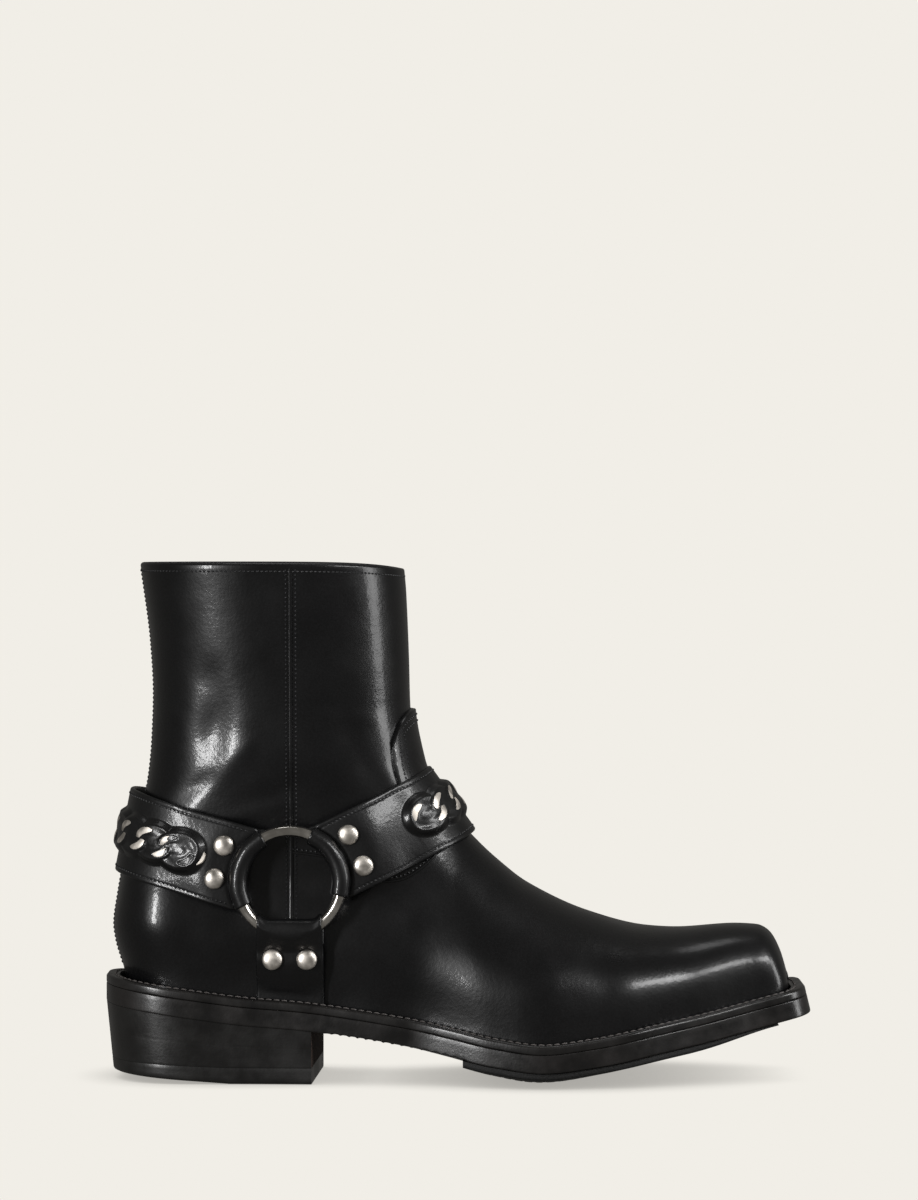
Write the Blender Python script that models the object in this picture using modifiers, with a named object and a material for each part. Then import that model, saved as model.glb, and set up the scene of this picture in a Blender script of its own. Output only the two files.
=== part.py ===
"""Harness ankle boot, right shoe, square toe, standing on its sole.

The toe points to +X, +Z is up and the outer (lateral) side faces -Y. Sizes are measured from the back
of the welt, and the origin is then the middle of the heel's flat rest on the floor.
"""
import math

import bmesh
import bpy
import numpy as np
from mathutils import Matrix, Vector

MM = 0.001
LATERAL = -1
MEDIAL = 1

# Last and sole
SOLE_LENGTH = 309 * MM
BALL_WIDTH = 110 * MM
WAIST_WIDTH = 70 * MM
HEEL_WIDTH = 74 * MM
TOE_WIDTH = 63 * MM
TOE_ROUND = 24 * MM
HEEL_SEAT_HEIGHT = 46.2 * MM
BALL_SEAT_HEIGHT = 19 * MM
TOE_SEAT_HEIGHT = 41.5 * MM
BALL_STATION = 192 * MM
INSTEP_HEIGHT = 140 * MM
COLLAR_HEIGHT = 226.3 * MM
COLLAR_WIDTH = 90 * MM
ANKLE_WIDTH = 74 * MM
ANKLE_HEIGHT = 125 * MM
UPPER_WALL = 2.4 * MM
SIDE_BULGE = 8 * MM
BULGE_HEIGHT = 55 * MM
RIDGE_SHIFT = 3.5 * MM
INSTEP_SLOPE = 1.35

# Sole layers
WELT_STANDOUT = 7 * MM
WELT_THICKNESS = 4 * MM
MIDSOLE_THICKNESS = 8 * MM
HALF_SOLE_THICKNESS = 2.6 * MM
HALF_SOLE_START = 158 * MM
HALF_SOLE_INSET = 1.2 * MM
HALF_SOLE_TOE_GAP = 16 * MM
SOLE_CROWN = 4.6 * MM
CROWN_REACH = 75 * MM
HEEL_BREAST = 92 * MM
HEEL_INSET = 0.1 * MM
BREAST_SKEW = 3.5 * MM
HEEL_TAPER = 3.4 * MM
HEEL_SIDE_TAPER = 1.4 * MM
LIFT_THICKNESS = 7 * MM
LIFT_BEVEL = 3.8 * MM
LIFT_BEVEL_LENGTH = 55 * MM
INSOLE_THICKNESS = 3 * MM
INSOLE_GAP = 2.6 * MM

# Harness
STRAP_THICKNESS = 2.2 * MM
FRONT_STRAP_WIDTH = 35 * MM
BACK_STRAP_WIDTH = 37 * MM
BOTTOM_STRAP_WIDTH = 29.5 * MM
FRONT_STRAP_TILT = math.radians(26)
BACK_STRAP_TILT = math.radians(164)
BOTTOM_STRAP_TILT = math.radians(270)
STRAP_TUCK = 9.5 * MM
STRAP_SETTLE = 10 * MM
STRAP_VALLEY = 1.5 * MM
BACK_STANDOFF = 3.6 * MM
FRONT_STANDOFF = 0.6 * MM
STRAP_END_TO_ZIP = 14 * MM
RING_STATION = 82.9 * MM
RING_HEIGHT = 88.2 * MM
RING_DIAMETER = 50 * MM
RING_WIRE = 5.6 * MM
STUD_DIAMETER = 7.8 * MM
STUD_RISE = 2.1 * MM
STUD_SKIRT = 0.4 * MM
STUD_PITCH = 15 * MM
STUD_REACH = 32 * MM
BOTTOM_STUD_REACH = 33.5 * MM

# Curb chain
LINK_LENGTH = 16 * MM
LINK_WIDTH = 11 * MM
LINK_WIRE = 2.3 * MM
LINK_PITCH = 12 * MM
LINK_PLAY = 0.15 * MM
FRONT_LINKS = 6
BACK_LINKS = 9

# Vamp tongue and zip
TONGUE_TOP = 163 * MM
TONGUE_HALF_WIDTH = 23 * MM
TONGUE_THICKNESS = 1.8 * MM
TONGUE_FOOT_GAP = 2.2 * MM
ZIP_STATION = 73 * MM
ZIP_WIDTH = 9 * MM
ZIP_BOTTOM = 62 * MM
ZIP_TOP_GAP = 0.5 * MM
ZIP_TAPE_THICKNESS = 1.2 * MM
SLIDER_DROP = 12 * MM
SLIDER_LENGTH = 11 * MM
SLIDER_WIDTH = 8 * MM
SLIDER_THICKNESS = 3 * MM
ARCH_WIDTH = 2 * MM
ARCH_WALL = 1.2 * MM
ARCH_WINDOW_LENGTH = 4.4 * MM
ARCH_WINDOW_HEIGHT = 2.4 * MM
PULL_LENGTH = 22 * MM
PULL_WIDTH = 6 * MM
PULL_THICKNESS = 1.4 * MM
PULL_RIM = 1.4 * MM

# Clearances
CONTACT_GAP = 0.3 * MM
FACET_GAP = 0.25 * MM

HEEL_REST_STATION = 0.5 * (LIFT_BEVEL_LENGTH + HEEL_BREAST)
COLLECTION_NAME = "harness_boot"

# Height of the welt's top edge over its low point at the ball. Columns: way from the ball, -1 at the
# heel and 1 at the toe, share of the drop from the heel, share of the rise to the toe.
WELT_PROFILE = (
    (-1.00, 1.00, 0.00), (-0.80, 0.80, 0.00), (-0.68, 0.69, 0.00), (-0.54, 0.61, 0.00),
    (-0.42, 0.50, 0.00), (-0.30, 0.36, 0.00), (-0.20, 0.22, 0.00), (-0.10, 0.08, 0.00),
    (0.00, 0.00, 0.00), (0.20, 0.00, 0.11), (0.40, 0.00, 0.31), (0.60, 0.00, 0.51),
    (0.80, 0.00, 0.75), (1.00, 0.00, 1.00),
)

# Sole outline. Columns: share of the length, the width it follows, share of that width, medial share.
OUTLINE = (
    (0.00, HEEL_WIDTH, 1.00, 0.50),
    (0.13, HEEL_WIDTH, 1.00, 0.50),
    (0.28, HEEL_WIDTH, 0.96, 0.46),
    (0.43, WAIST_WIDTH, 1.00, 0.41),
    (0.55, BALL_WIDTH, 0.84, 0.43),
    (0.65, BALL_WIDTH, 0.99, 0.48),
    (0.73, BALL_WIDTH, 0.98, 0.51),
    (0.84, BALL_WIDTH, 0.81, 0.54),
    (0.94, TOE_WIDTH, 1.08, 0.55),
    (1.00, TOE_WIDTH, 1.00, 0.555),
)

# Back line of the upper. Columns: share of the height from feather to collar, share of the length.
BACK_LINE = (
    (0.000, 0.0307), (0.047, 0.0236), (0.106, 0.0136), (0.144, 0.0107), (0.220, 0.0165),
    (0.274, 0.0223), (0.344, 0.0333), (0.415, 0.0472), (0.490, 0.0595), (0.588, 0.0654),
    (0.696, 0.0676), (0.815, 0.0638), (1.000, 0.0495),
)

# Front line, up the toe wall, back along the vamp and up the shaft. Columns: share of the length,
# share of the rise from feather to instep, share of the rise from instep to collar.
FRONT_LINE = (
    (0.9767, 0.000, 0.0), (0.9780, 0.068, 0.0), (0.9740, 0.126, 0.0), (0.9667, 0.194, 0.0),
    (0.9524, 0.266, 0.0), (0.9353, 0.292, 0.0), (0.9060, 0.296, 0.0), (0.8190, 0.280, 0.0),
    (0.7770, 0.287, 0.0), (0.6910, 0.352, 0.0), (0.6050, 0.473, 0.0), (0.5620, 0.572, 0.0),
    (0.5330, 0.653, 0.0), (0.4820, 0.820, 0.0), (0.4630, 0.903, 0.0), (0.4500, 1.000, 0.0),
    (0.4362, 1.0, 0.278), (0.4343, 1.0, 0.521), (0.4304, 1.0, 0.857), (0.4278, 1.0, 0.970),
)

# Foot sections. Columns: share of the length, medial bulge, lateral bulge, roundness of the top.
SECTIONS = (
    (0.00, 0.45, 0.45, 3.0),
    (0.15, 0.45, 0.45, 3.0),
    (0.30, 0.75, 0.45, 2.6),
    (0.42, 1.00, 0.40, 2.3),
    (0.52, 0.70, 0.30, 2.1),
    (0.64, 0.35, 0.30, 2.2),
    (0.75, 0.30, 0.30, 2.3),
    (0.88, 0.25, 0.25, 2.5),
    (0.98, 0.20, 0.20, 2.8),
)

# Rings of the upper. Columns: share of the front line, share of the back line.
RINGS = (
    (0.000, 0.000), (0.025, 0.014), (0.050, 0.030), (0.075, 0.050), (0.095, 0.070), (0.120, 0.092),
    (0.155, 0.115), (0.200, 0.140), (0.250, 0.165), (0.300, 0.190), (0.350, 0.215), (0.400, 0.245),
    (0.450, 0.280), (0.500, 0.320), (0.550, 0.365), (0.600, 0.420), (0.650, 0.480), (0.700, 0.540),
    (0.750, 0.605), (0.800, 0.675), (0.850, 0.750), (0.900, 0.830), (0.950, 0.915), (1.000, 1.000),
)
RING_HALF_STEPS = 20
HEEL_ROUNDNESS = 2.3
TOE_SQUARENESS = 4.5
SHAFT_ROUNDNESS = 2.3
FOOT_TOP = 80 * MM
SHAFT_START = 150 * MM


def smooth(table, position, column=1):
    """Monotone cubic through a table's rows: no overshoot between them."""
    rows = np.array(table, float)
    xs = rows[:, 0]
    ys = rows[:, column]
    step = np.diff(xs)
    slope = np.diff(ys) / step
    tangent = np.zeros(len(xs))
    same = slope[:-1] * slope[1:] > 0
    weight = step[:-1] + 2 * step[1:]
    other = 2 * step[:-1] + step[1:]
    safe_left = np.where(same, slope[:-1], 1.0)
    safe_right = np.where(same, slope[1:], 1.0)
    harmonic = (weight + other) / (other / safe_left + weight / safe_right)
    tangent[1:-1] = np.where(same, harmonic, 0.0)
    tangent[0] = slope[0]
    tangent[-1] = slope[-1]
    x = np.clip(np.asarray(position, float), xs[0], xs[-1])
    cell = np.clip(np.searchsorted(xs, x, side="right") - 1, 0, len(xs) - 2)
    t = (x - xs[cell]) / step[cell]
    value = ys[cell] * (1 + 2 * t) * (1 - t) ** 2 + ys[cell + 1] * t * t * (3 - 2 * t)
    return value + step[cell] * (tangent[cell] * t * (1 - t) ** 2 - tangent[cell + 1] * t * t * (1 - t))


def smoothstep(value):
    """Ease from 0 to 1 with level ends."""
    t = np.clip(value, 0.0, 1.0)
    return t * t * (3 - 2 * t)


def round_cap(distance, length, power):
    """Share of the full width at a distance from a rounded end, as a superellipse."""
    t = 1 - np.clip(distance / length, 0.0, 1.0)
    return (1 - t ** power) ** (1 / power)


def mix(low, high, share):
    """The value a share of the way from low to high."""
    return low + (high - low) * share


# Sole surfaces


def welt_top(x):
    """Height of the welt's top edge above the floor."""
    past = x - BALL_STATION
    way = np.where(past < 0, past / BALL_STATION, past / (SOLE_LENGTH - BALL_STATION))
    drop = (HEEL_SEAT_HEIGHT - BALL_SEAT_HEIGHT) * smooth(WELT_PROFILE, way, 1)
    rise = (TOE_SEAT_HEIGHT - BALL_SEAT_HEIGHT) * smooth(WELT_PROFILE, way, 2)
    return BALL_SEAT_HEIGHT + drop + rise


def under_welt(x, depth):
    """The point at a depth under the welt's top, square to the sole where it springs up to the toe."""
    step = 1 * MM
    low = np.clip(x - step, 0, SOLE_LENGTH)
    high = np.clip(x + step, 0, SOLE_LENGTH)
    slope = (welt_top(high) - welt_top(low)) / (high - low)
    tilt = np.sqrt(1 + slope * slope)
    lean = np.where(slope > 0, depth * slope / tilt, 0.0)
    return x + lean, welt_top(x) - np.where(slope > 0, depth / tilt, depth * tilt)


def crown(x, across):
    """How far the sole's underside swells down between its edges, most at the ball."""
    along = np.clip(1 - np.abs(x - BALL_STATION) / CROWN_REACH, 0.0, 1.0)
    return SOLE_CROWN * smoothstep(along) * (1 - np.abs(across) ** 2.5)


def side_widths(x):
    """Medial and lateral reach of the welt from the middle line, without the rounded ends."""
    share = x / SOLE_LENGTH
    rows = [(station, size * part, medial) for station, size, part, medial in OUTLINE]
    width = smooth(rows, share)
    medial = smooth(rows, share, 2)
    return width * medial, width * (1 - medial)


def plan_rows(inset, start=None, stop=None, cap_steps=7, side_steps=14):
    """Stations along the sole with the lateral and medial edge at each, all set in by inset."""
    heel_round = HEEL_WIDTH / 2 - inset
    toe_round = TOE_ROUND - inset
    angles = np.radians(np.linspace(9, 90, cap_steps))
    heel = inset + heel_round * (1 - np.cos(angles) ** (2 / HEEL_ROUNDNESS))
    toe = SOLE_LENGTH - inset - toe_round * (1 - np.cos(angles) ** (2 / TOE_SQUARENESS))
    first = heel[-1] if start is None else start
    last = toe[-1] if stop is None else stop
    stations = np.linspace(first, last, side_steps)
    if start is None:
        stations = np.concatenate([heel[:-1], stations])
    if stop is None:
        stations = np.concatenate([stations, toe[:-1][::-1]])
    medial, lateral = side_widths(stations)
    share = round_cap(stations - inset, heel_round, HEEL_ROUNDNESS)
    share = share * round_cap(SOLE_LENGTH - inset - stations, toe_round, TOE_SQUARENESS)
    middle = (medial - lateral) / 2
    half = (medial + lateral) / 2 - inset
    return stations, middle - half * share, middle + half * share


# The upper's own surface


def front_curve(share):
    """Side-view point a share of the way along the front line."""
    rows = np.array(FRONT_LINE)
    toe_foot = feather_height(rows[0, 0] * SOLE_LENGTH)
    x = rows[:, 0] * SOLE_LENGTH
    z = mix(toe_foot, INSTEP_HEIGHT, rows[:, 1]) + (COLLAR_HEIGHT - INSTEP_HEIGHT) * rows[:, 2]
    way = np.concatenate([[0.0], np.cumsum(np.hypot(np.diff(x), np.diff(z)))])
    table = np.column_stack([way / way[-1], x, z])
    return smooth(table, share, 1), smooth(table, share, 2)


def feather_height(x):
    """Height of the upper's lower edge, just over the midsole."""
    return under_welt(x, WELT_THICKNESS)[1] + CONTACT_GAP


def back_height(share):
    """Height on the back line at a share of the way from feather to collar."""
    foot = feather_height(BACK_LINE[0][1] * SOLE_LENGTH)
    return mix(foot, COLLAR_HEIGHT, share)


def back_x(z):
    """Station of the back line at a height."""
    foot = feather_height(BACK_LINE[0][1] * SOLE_LENGTH)
    return SOLE_LENGTH * smooth(BACK_LINE, (z - foot) / (COLLAR_HEIGHT - foot))


CURVE_SHARES = np.linspace(0, 1, 600)
CURVE_X, CURVE_Z = front_curve(CURVE_SHARES)
TOE_CORNER = int(np.argmax(CURVE_Z * (CURVE_X > 0.88 * SOLE_LENGTH)))
ON_VAMP = (CURVE_X < 0.9 * SOLE_LENGTH) & (CURVE_X > 0.7 * SOLE_LENGTH)
VAMP_LOW = int(np.argmin(np.where(ON_VAMP, CURVE_Z, COLLAR_HEIGHT)))


def front_x(z):
    """Station of the front line at a height above the vamp's low point."""
    return np.interp(z, CURVE_Z[VAMP_LOW:], CURVE_X[VAMP_LOW:])


def toe_x(z):
    """Station of the toe wall at a height."""
    return np.interp(z, CURVE_Z[:TOE_CORNER + 1], CURVE_X[:TOE_CORNER + 1])


def ridge_height(x):
    """Height of the foot's ridge, carried on up behind the instep at a steady slope."""
    knee = 0.5 * SOLE_LENGTH
    curve = np.interp(np.maximum(x, knee), CURVE_X[::-1], CURVE_Z[::-1])
    return curve + INSTEP_SLOPE * np.maximum(knee - x, 0.0)


def ridge_side(x):
    """How far the ridge lies to the medial side of the middle line."""
    share = x / SOLE_LENGTH
    return RIDGE_SHIFT * smoothstep((share - 0.4) / 0.25)


def shaft_half_width(x, z):
    """Half-width of the shaft: an oval between the back line and the front line."""
    back = back_x(z)
    front = front_x(z)
    middle = (back + front) / 2
    reach = np.clip(np.abs(x - middle) / ((front - back) / 2), 0.0, 1.0)
    rise = np.clip((z - ANKLE_HEIGHT) / (COLLAR_HEIGHT - ANKLE_HEIGHT), 0.0, 1.0) ** 1.2
    width = mix(ANKLE_WIDTH, COLLAR_WIDTH, rise)
    return width / 2 * (1 - reach ** SHAFT_ROUNDNESS) ** (1 / SHAFT_ROUNDNESS)


def foot_half_width(x, z, side):
    """Half-width of the foot: a bulged wall that closes over the ridge, rounded at heel and toe."""
    medial, lateral = side_widths(x)
    share = x / SOLE_LENGTH
    foot = feather_height(np.clip(x, 0, SOLE_LENGTH))
    base = np.where(side > 0, medial - ridge_side(x), lateral + ridge_side(x)) - WELT_STANDOUT
    bulge = SIDE_BULGE * smooth(SECTIONS, share, 1 if side > 0 else 2)
    swell = np.sin(math.pi * np.clip((z - foot - WELT_THICKNESS) / BULGE_HEIGHT, 0.0, 1.0)) ** 2
    power = smooth(SECTIONS, share, 3)
    height = np.clip((z - foot) / (ridge_height(x) - foot), 0.0, 1.0)
    closing = (1 - height ** power) ** (1 / power)
    heel = round_cap(x - back_x(z), HEEL_WIDTH / 2 - WELT_STANDOUT, HEEL_ROUNDNESS)
    toe = round_cap(toe_x(z) - x, TOE_ROUND - WELT_STANDOUT, TOE_SQUARENESS)
    return (base + bulge * swell) * closing * heel * toe


def upper_point(x, z, side):
    """The upper's outer surface at a side-view point, on the lateral or medial side."""
    x = np.asarray(x, float)
    z = np.asarray(z, float)
    up = smoothstep((z - FOOT_TOP) / (SHAFT_START - FOOT_TOP))
    half = mix(foot_half_width(x, z, side), shaft_half_width(x, z), up)
    y = ridge_side(x) * (1 - up) + side * half
    return np.stack([x, y, z], axis=-1)


def upper_rings():
    """Rings round the upper: lateral side from back to front, then medial side back again."""
    step = np.arange(RING_HALF_STEPS + 1) / RING_HALF_STEPS
    s = (1 - np.cos(math.pi * step)) / 2
    rings = []
    for front_share, back_share in RINGS:
        back_z = back_height(back_share)
        back = back_x(back_z)
        front, front_z = front_curve(front_share)
        x = mix(back, front, s)
        sag = feather_height(x) - mix(feather_height(back), feather_height(front), s)
        level = mix(back_z, front_z, s ** (1 + 6 * back_share ** 8))
        z = level + sag * (1 - back_share) ** 2
        outer = upper_point(x, z, LATERAL)
        inner = upper_point(x, z, MEDIAL)
        rings.append(np.concatenate([outer, inner[-2:0:-1]]))
    return np.array(rings)


# Building helpers


def shift(points):
    """Moves points from the welt's back to the part's own origin."""
    return np.asarray(points) - np.array([HEEL_REST_STATION, 0.0, 0.0])


def material(name, colour, roughness, metallic=0.0):
    """A plain Principled material."""
    made = bpy.data.materials.new(name)
    made.use_nodes = True
    shader = made.node_tree.nodes["Principled BSDF"]
    shader.inputs["Base Color"].default_value = (*colour, 1.0)
    shader.inputs["Roughness"].default_value = roughness
    shader.inputs["Metallic"].default_value = metallic
    return made


def add_object(name, mesh, finish, parent=None):
    """Puts a mesh in the boot's collection with one material."""
    mesh.materials.append(finish)
    piece = bpy.data.objects.new(name, mesh)
    bpy.data.collections[COLLECTION_NAME].objects.link(piece)
    piece.parent = parent
    return piece


def grid_mesh(name, rows, closed_rows=False, closed_columns=False, caps=False):
    """A mesh over a grid of points. Caps close a tube's two ends."""
    count, width = rows.shape[:2]
    form = bmesh.new()
    corners = [[form.verts.new(point) for point in row] for row in rows]
    for i in range(count if closed_rows else count - 1):
        for j in range(width if closed_columns else width - 1):
            below = corners[i]
            above = corners[(i + 1) % count]
            after = (j + 1) % width
            form.faces.new((below[j], below[after], above[after], above[j]))
    if caps:
        form.faces.new(corners[0][::-1])
        form.faces.new(corners[-1])
    bmesh.ops.recalc_face_normals(form, faces=form.faces[:])
    mesh = bpy.data.meshes.new(name)
    form.to_mesh(mesh)
    form.free()
    mesh.shade_smooth()
    mesh.set_sharp_from_angle(angle=math.radians(40))
    return mesh


def face_outwards(mesh, outward):
    """Turns an open surface so that its first face looks along outward."""
    normal = mesh.polygons[0].normal
    if normal.dot(Vector(outward)) < 0:
        mesh.flip_normals()
    return mesh


def add_wall(piece, thickness, offset):
    """Gives an open surface its wall."""
    wall = piece.modifiers.new("wall", "SOLIDIFY")
    wall.thickness = thickness
    wall.offset = offset
    return piece


def add_plate(name, plan, top, bottom, finish, across_steps=6):
    """A plate over plan rows, whose top and bottom are functions of station and share across."""
    across = np.linspace(-1, 1, across_steps + 1)
    rows = []
    for station, lateral, medial in zip(*plan):
        y = mix(lateral, medial, (across + 1) / 2)
        upper = top(np.full_like(across, station), y, across)
        lower = bottom(np.full_like(across, station), y, across)
        rows.append(np.concatenate([upper, lower[::-1]]))
    return add_object(name, grid_mesh(name, shift(rows), closed_columns=True, caps=True), finish)


# Sole pieces


def layer(depth, crowned=False, floor=None):
    """A sole surface at a depth under the welt's top, as a function for add_plate."""

    def surface(station, y, across):
        x, z = under_welt(station, depth)
        if crowned:
            z = z - crown(station, across)
        if floor is not None:
            z = np.maximum(z, floor)
        return np.stack([x, y, z], axis=-1)

    return surface


def add_welt(finish):
    """The strip that runs all round the upper."""
    outer = welt_loop(0.0)
    inner = welt_loop(WELT_STANDOUT - CONTACT_GAP - 4 * FACET_GAP)
    section = []
    for loop, depth in ((outer, 0.0), (outer, WELT_THICKNESS), (inner, WELT_THICKNESS), (inner, 0.0)):
        x, z = under_welt(loop[:, 0], depth)
        section.append(np.stack([x, loop[:, 1], z], axis=-1))
    rows = np.stack(section, axis=1)
    mesh = grid_mesh("welt", shift(rows), closed_rows=True, closed_columns=True)
    return add_object("welt", mesh, finish)


def welt_loop(inset):
    """Plan loop round the sole: lateral edge forwards, medial edge back."""
    stations, lateral, medial = plan_rows(inset, side_steps=18)
    forwards = np.column_stack([stations, lateral])
    back = np.column_stack([stations, medial])[::-1]
    return np.concatenate([forwards, back])


def add_midsole(finish):
    """The board under the welt, swelling down a little at the ball."""
    top = layer(WELT_THICKNESS + CONTACT_GAP)
    bottom = layer(WELT_THICKNESS + MIDSOLE_THICKNESS, crowned=True)
    return add_plate("midsole", plan_rows(0.0, side_steps=22), top, bottom, finish)


def add_half_sole(finish):
    """The rubber forefoot tread, crowned across, with a flat spot on the floor at the ball."""
    base = WELT_THICKNESS + MIDSOLE_THICKNESS + CONTACT_GAP + FACET_GAP
    plan = plan_rows(HALF_SOLE_INSET, HALF_SOLE_START, SOLE_LENGTH - HALF_SOLE_TOE_GAP, side_steps=18)
    bottom = layer(base + HALF_SOLE_THICKNESS, crowned=True, floor=0.0)
    return add_plate("half_sole", plan, layer(base, crowned=True), bottom, finish)


def breast_skew(y):
    """The heel's front face runs further forward on the medial side."""
    return BREAST_SKEW * (y / HEEL_WIDTH + 0.5)


def heel_point(station, y, level):
    """A point of the heel block, drawn in towards the floor at the back and sides."""
    share = np.maximum(1 - level / (HEEL_SEAT_HEIGHT - WELT_THICKNESS - MIDSOLE_THICKNESS), 0.0)
    along = station / HEEL_BREAST
    x = station + HEEL_TAPER * share * (1 - along) + breast_skew(y) * along ** 4
    side = y * (1 - HEEL_SIDE_TAPER * share / (HEEL_WIDTH / 2))
    return np.stack([x, side, level], axis=-1)


def lift_top(station):
    """Height of the join between heel stack and heel lift."""
    return LIFT_THICKNESS + lift_bottom(station) * 0.6


def lift_bottom(station):
    """Underside of the heel: flat at the front, rising to the back."""
    share = np.clip(1 - station / LIFT_BEVEL_LENGTH, 0.0, 1.0)
    return LIFT_BEVEL * share


def add_heel(stack_finish, lift_finish):
    """The stacked block and the rubber lift under it."""
    plan = plan_rows(HEEL_INSET, stop=HEEL_BREAST, side_steps=6)
    base = WELT_THICKNESS + MIDSOLE_THICKNESS + CONTACT_GAP

    def stack_top(station, y, across):
        front = station + breast_skew(y) * (station / HEEL_BREAST) ** 4
        return heel_point(station, y, under_welt(front, base)[1])

    def stack_bottom(station, y, across):
        return heel_point(station, y, lift_top(station) + CONTACT_GAP)

    def rubber_top(station, y, across):
        return heel_point(station, y, lift_top(station))

    def rubber_bottom(station, y, across):
        return heel_point(station, y, lift_bottom(station))

    add_plate("heel_stack", plan, stack_top, stack_bottom, stack_finish, across_steps=4)
    add_plate("heel_lift", plan, rubber_top, rubber_bottom, lift_finish, across_steps=4)


def add_insole(finish):
    """The board inside the upper."""
    inset = WELT_STANDOUT + UPPER_WALL + CONTACT_GAP + 2 * FACET_GAP
    plan = plan_rows(inset + INSOLE_GAP)
    top = layer(WELT_THICKNESS - INSOLE_THICKNESS)
    bottom = layer(WELT_THICKNESS)
    return add_plate("insole", plan, top, bottom, finish, across_steps=4)


def add_upper(finish):
    """The hollow upper: one wall, open at the collar and underneath."""
    rows = upper_rings()
    mesh = grid_mesh("upper", shift(rows), closed_columns=True)
    face_outwards(mesh, (-1, -0.2, 0))
    return add_wall(add_object("upper", mesh, finish), UPPER_WALL, -1.0)


# Harness


def grid_normals(points, outward):
    """Unit normals of a grid of points, on the side of outward."""
    along = np.gradient(points, axis=0)
    across = np.gradient(points, axis=1)
    normal = np.cross(along, across)
    normal /= np.linalg.norm(normal, axis=-1, keepdims=True)
    middle = normal[0, normal.shape[1] // 2]
    return normal if np.dot(middle, outward) > 0 else -normal


def ring_frame():
    """Centre, along, up and outward vectors of the harness ring, laid on the upper's side."""
    reach = RING_DIAMETER / 2
    station = np.array([RING_STATION - reach, RING_STATION + reach, RING_STATION, RING_STATION])
    height = np.array([RING_HEIGHT, RING_HEIGHT, RING_HEIGHT - reach, RING_HEIGHT + reach])
    back, front, low, high = upper_point(station, height, LATERAL)
    along = (front - back) / np.linalg.norm(front - back)
    up = (high - low) - along * np.dot(high - low, along)
    up /= np.linalg.norm(up)
    outward = np.cross(along, up)
    angles = np.linspace(0, 2 * math.pi, 25)[:-1]
    centre = upper_point(RING_STATION, RING_HEIGHT, LATERAL)
    highest = 0.0
    for radius in (0.0, 0.5 * reach, reach, reach + STRAP_TUCK):
        x = RING_STATION + radius * np.cos(angles)
        z = RING_HEIGHT + radius * np.sin(angles)
        highest = max(highest, float(np.max((upper_point(x, z, LATERAL) - centre) @ outward)))
    stand = highest + 2 * CONTACT_GAP + 3 * FACET_GAP + STRAP_THICKNESS + RING_WIRE / 2
    return centre + outward * stand, along, up, outward


RING_CENTRE, RING_ALONG, RING_UP, RING_OUT = ring_frame()
RING_RADIUS = (RING_DIAMETER - RING_WIRE) / 2
FOLD_RADIUS = RING_WIRE / 2 + CONTACT_GAP + 2 * FACET_GAP + STRAP_THICKNESS / 2
FOLD_STEPS = 9
RING_AXES = (np.array([1.0, 0.0]), np.array([0.0, 1.0]))
FOLD_ROWS = FOLD_STEPS + 3
CREST_ROW = 10


def strap_axes(tilt):
    """Directions along and across a strap in the side view."""
    along = np.array([math.cos(tilt), math.sin(tilt)])
    up = np.array([abs(along[1]), abs(along[0])])
    if along[0] * along[1] > 0:
        up[0] = -up[0]
    return along, up


def strap_lines(tilt, width, columns):
    """A strap's directions, its columns' angles round the ring, and where they leave it."""
    along, up = strap_axes(tilt)
    start = RING_RADIUS + FOLD_RADIUS
    half_angle = math.asin(width / 2 / start)
    angle = half_angle * np.linspace(-1, 1, columns)
    turn = math.atan2(along[1], along[0])
    handed = 1.0 if along[0] * up[1] - along[1] * up[0] > 0 else -1.0
    return along, up, turn + handed * angle, start * np.sin(angle), start * np.cos(angle)


def plane_point(a, b, height, along, up):
    """A point over the ring's plane from its place along and across the strap."""
    x = a * along[0] + b * up[0]
    z = a * along[1] + b * up[1]
    spot = RING_CENTRE + x[..., None] * RING_ALONG + z[..., None] * RING_UP
    return spot + np.asarray(height)[..., None] * RING_OUT


def fold_rows(along, up, angle, offset, begin):
    """Rows of a strap's end: tucked layer, round the ring's wire, and down behind it."""
    rows = []
    under = np.full_like(begin, -FOLD_RADIUS)
    for tuck in (STRAP_TUCK, STRAP_TUCK / 2, STRAP_VALLEY):
        rows.append(plane_point(begin + tuck - FOLD_RADIUS, offset, under, along, up))
    for turn in np.radians(np.linspace(262, -20, FOLD_STEPS)):
        radius = RING_RADIUS + FOLD_RADIUS * math.cos(turn)
        height = np.full_like(begin, FOLD_RADIUS * math.sin(turn))
        rows.append(plane_point(radius * np.cos(angle), radius * np.sin(angle), height, *RING_AXES))
    return rows


def lay_down(a, begin, offset, line, along, up):
    """Row of the outer layer: over the tucked layer in the ring's plane, then down to its seat."""
    settle = smoothstep((a - begin - STRAP_TUCK) / STRAP_SETTLE)[:, None]
    level = STRAP_THICKNESS + CONTACT_GAP - FOLD_RADIUS
    flat = plane_point(a, offset, np.full_like(a, level), along, up)
    return mix(flat, line, settle)


def line_limit(along, up, offset, edge):
    """How far along the strap's line the boot's outline lies, by halving."""
    low = 0.0
    high = SOLE_LENGTH
    for _ in range(40):
        half = (low + high) / 2
        x = RING_STATION + half * along[0] + offset * up[0]
        z = RING_HEIGHT + half * along[1] + offset * up[1]
        inside = x < front_x(z) if edge == "front" else x > back_x(z)
        low, high = (half, high) if inside else (low, half)
    return low


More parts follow.
